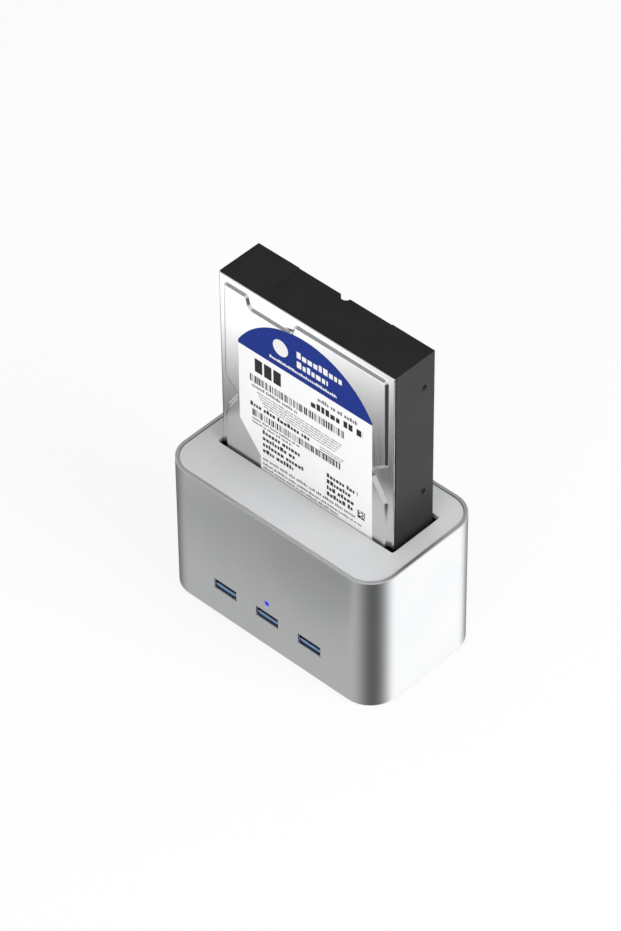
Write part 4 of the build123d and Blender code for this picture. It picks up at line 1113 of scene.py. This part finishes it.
# Each lamp's place, width and watts
LAMP_TARGET = Vector((0, 0, 0.08))
LAMPS = {
    "key_lamp": ((0.35, -1.25, 0.9), 0.9, 7.5),
    "side_lamp": ((1.2, 0.1, 0.6), 0.8, 17),
    "top_lamp": ((0.0, 0.4, 1.4), 1.0, 0.4),
}


def direction_of(azimuth, elevation):
    """The direction from the object to a place; azimuth 0 is in front, both are in radians."""
    flat = math.cos(elevation)
    return Vector((math.sin(azimuth) * flat, -math.cos(azimuth) * flat, math.sin(elevation)))


def flat_sheet(name, outline, height):
    """A flat object of one face, with an empty material."""
    mesh = bpy.data.meshes.new(name)
    form = bmesh.new()
    form.faces.new([form.verts.new((x, y, height)) for x, y in outline])
    form.to_mesh(mesh)
    form.free()
    sheet = bpy.data.objects.new(name, mesh)
    bpy.context.scene.collection.objects.link(sheet)
    material = bpy.data.materials.new(name + "_surface")
    material.use_nodes = True
    material.node_tree.nodes.clear()
    mesh.materials.append(material)
    return sheet, material.node_tree


def mixed(tree, share, first, second):
    """A mix of two shaders by the second one's share."""
    node = tree.nodes.new("ShaderNodeMixShader")
    tree.links.new(share, node.inputs["Fac"])
    tree.links.new(first, node.inputs[1])
    tree.links.new(second, node.inputs[2])
    return node.outputs["Shader"]


def make_floor():
    """A pale floor that is white to the camera and keeps a soft shadow."""
    half = FLOOR_HALF
    floor, tree = flat_sheet("floor", ((-half, -half), (half, -half), (half, half), (-half, half)), 0)
    matt = tree.nodes.new("ShaderNodeBsdfDiffuse")
    matt.inputs["Color"].default_value = (*grey(FLOOR_GREY), 1)
    glow = tree.nodes.new("ShaderNodeEmission")
    path = tree.nodes.new("ShaderNodeLightPath")
    seen = worked(tree, "MULTIPLY", path.outputs["Is Camera Ray"], FLOOR_CAMERA_SHARE)
    surface = mixed(tree, seen, matt.outputs["BSDF"], glow.outputs["Emission"])
    out = tree.nodes.new("ShaderNodeOutputMaterial")
    tree.links.new(surface, out.inputs["Surface"])
    floor.visible_glossy = False


def make_low_card():
    """The low card: dark near the object, then grey, and white further out."""
    card, tree = flat_sheet("low_card", CARD_OUTLINE, CARD_HEIGHT)
    along = dot_with(tree, coordinates(tree, "Object"), CARD_LINE)
    near, middle, far = CARD_LEVELS
    first = level_between(tree, along, CARD_GREY_START, CARD_GREY_END, near, middle)
    second = level_between(tree, along, CARD_GREY_END, CARD_WHITE_END, 0, far - middle)
    glow = tree.nodes.new("ShaderNodeEmission")
    tree.links.new(worked(tree, "ADD", first, second), glow.inputs["Strength"])
    out = tree.nodes.new("ShaderNodeOutputMaterial")
    tree.links.new(glow.outputs["Emission"], out.inputs["Surface"])
    card.visible_camera = False
    card.visible_diffuse = False
    card.visible_shadow = False
    card.visible_transmission = False


def soft_lamp(name, place, width, watts):
    """A square lamp that looks at the object; reflections show the world and the card instead."""
    data = bpy.data.lights.new(name, "AREA")
    data.shape = "SQUARE"
    data.size = width
    data.energy = watts
    lamp = bpy.data.objects.new(name, data)
    lamp.location = place
    lamp.rotation_euler = (LAMP_TARGET - lamp.location).to_track_quat("-Z", "Y").to_euler()
    lamp.visible_glossy = False
    bpy.context.scene.collection.objects.link(lamp)


def reflected_card(tree, place, azimuth, elevation, sharpness, strength):
    """A soft round card of light centred on a direction."""
    direction = direction_of(math.radians(azimuth), math.radians(elevation))
    facing = worked(tree, "MAXIMUM", dot_with(tree, place, direction), 0)
    return worked(tree, "MULTIPLY", worked(tree, "POWER", facing, sharpness), strength)


def reflected_grey(tree):
    """The grey that reflections show, by direction."""
    place = coordinates(tree, "Generated")
    level = REFLECTED_WHITE
    for card in REFLECTED_CARDS:
        level = worked(tree, "ADD", reflected_card(tree, place, *card), level)
    level = worked(tree, "MAXIMUM", level, REFLECTED_LEAST)
    combine = tree.nodes.new("ShaderNodeCombineColor")
    for channel in ("Red", "Green", "Blue"):
        tree.links.new(level, combine.inputs[channel])
    return combine.outputs["Color"]


def background(tree, color):
    """A world background of a grey level, or of another node's colour."""
    node = tree.nodes.new("ShaderNodeBackground")
    if isinstance(color, float):
        node.inputs["Color"].default_value = (*grey(color), 1)
    else:
        tree.links.new(color, node.inputs["Color"])
    return node.outputs["Background"]


def make_world():
    """A pale studio around the object, by direction, and white behind it for the camera."""
    world = bpy.data.worlds.new("studio")
    bpy.context.scene.world = world
    world.use_nodes = True
    tree = world.node_tree
    tree.nodes.clear()
    path = tree.nodes.new("ShaderNodeLightPath").outputs
    around = background(tree, reflected_grey(tree))
    light = mixed(tree, path["Is Glossy Ray"], background(tree, SKY_GREY), around)
    straight = worked(tree, "MAXIMUM", path["Is Camera Ray"], path["Is Transmission Ray"])
    seen = mixed(tree, straight, light, background(tree, SEEN_WHITE))
    out = tree.nodes.new("ShaderNodeOutputWorld")
    tree.links.new(seen, out.inputs["Surface"])


# The camera, at the photograph's viewing angle


IMAGE_HEIGHT = 931
SENSOR_LONG_SIDE = 36.0
FOCAL_PIXELS = 4668.7
CAMERA_AZIMUTH = math.radians(43.541)
CAMERA_ELEVATION = math.radians(43.388)
CAMERA_ROLL = math.radians(-0.591)
CAMERA_DISTANCE = 2037.289 * MM
CAMERA_RIGHT = -4.342 * MM
CAMERA_UP = 11.348 * MM
CAMERA_TARGET = Vector((0, 0, 71 * MM))
CAMERA_NEAR = 0.05
CAMERA_FAR = 50


def make_camera():
    """The camera of the photograph."""
    back = direction_of(CAMERA_AZIMUTH, CAMERA_ELEVATION)
    right = Vector((math.cos(CAMERA_AZIMUTH), math.sin(CAMERA_AZIMUTH), 0))
    up = back.cross(right)
    place = CAMERA_TARGET + back * CAMERA_DISTANCE + right * CAMERA_RIGHT + up * CAMERA_UP
    rolled_right = right * math.cos(CAMERA_ROLL) + up * math.sin(CAMERA_ROLL)
    rolled_up = up * math.cos(CAMERA_ROLL) - right * math.sin(CAMERA_ROLL)
    data = bpy.data.cameras.new("camera")
    data.sensor_fit = "AUTO"
    data.sensor_width = SENSOR_LONG_SIDE
    data.lens = FOCAL_PIXELS * SENSOR_LONG_SIDE / IMAGE_HEIGHT
    data.clip_start = CAMERA_NEAR
    data.clip_end = CAMERA_FAR
    camera = bpy.data.objects.new("camera", data)
    turn = Matrix((rolled_right, rolled_up, back)).transposed()
    camera.matrix_world = Matrix.Translation(place) @ turn.to_4x4()
    bpy.context.scene.collection.objects.link(camera)
    bpy.context.scene.camera = camera


make_floor()
make_world()
for name, (place, width, watts) in LAMPS.items():
    soft_lamp(name, place, width, watts)
make_low_card()
make_camera()

scene = bpy.context.scene
scene.view_settings.view_transform = "Standard"
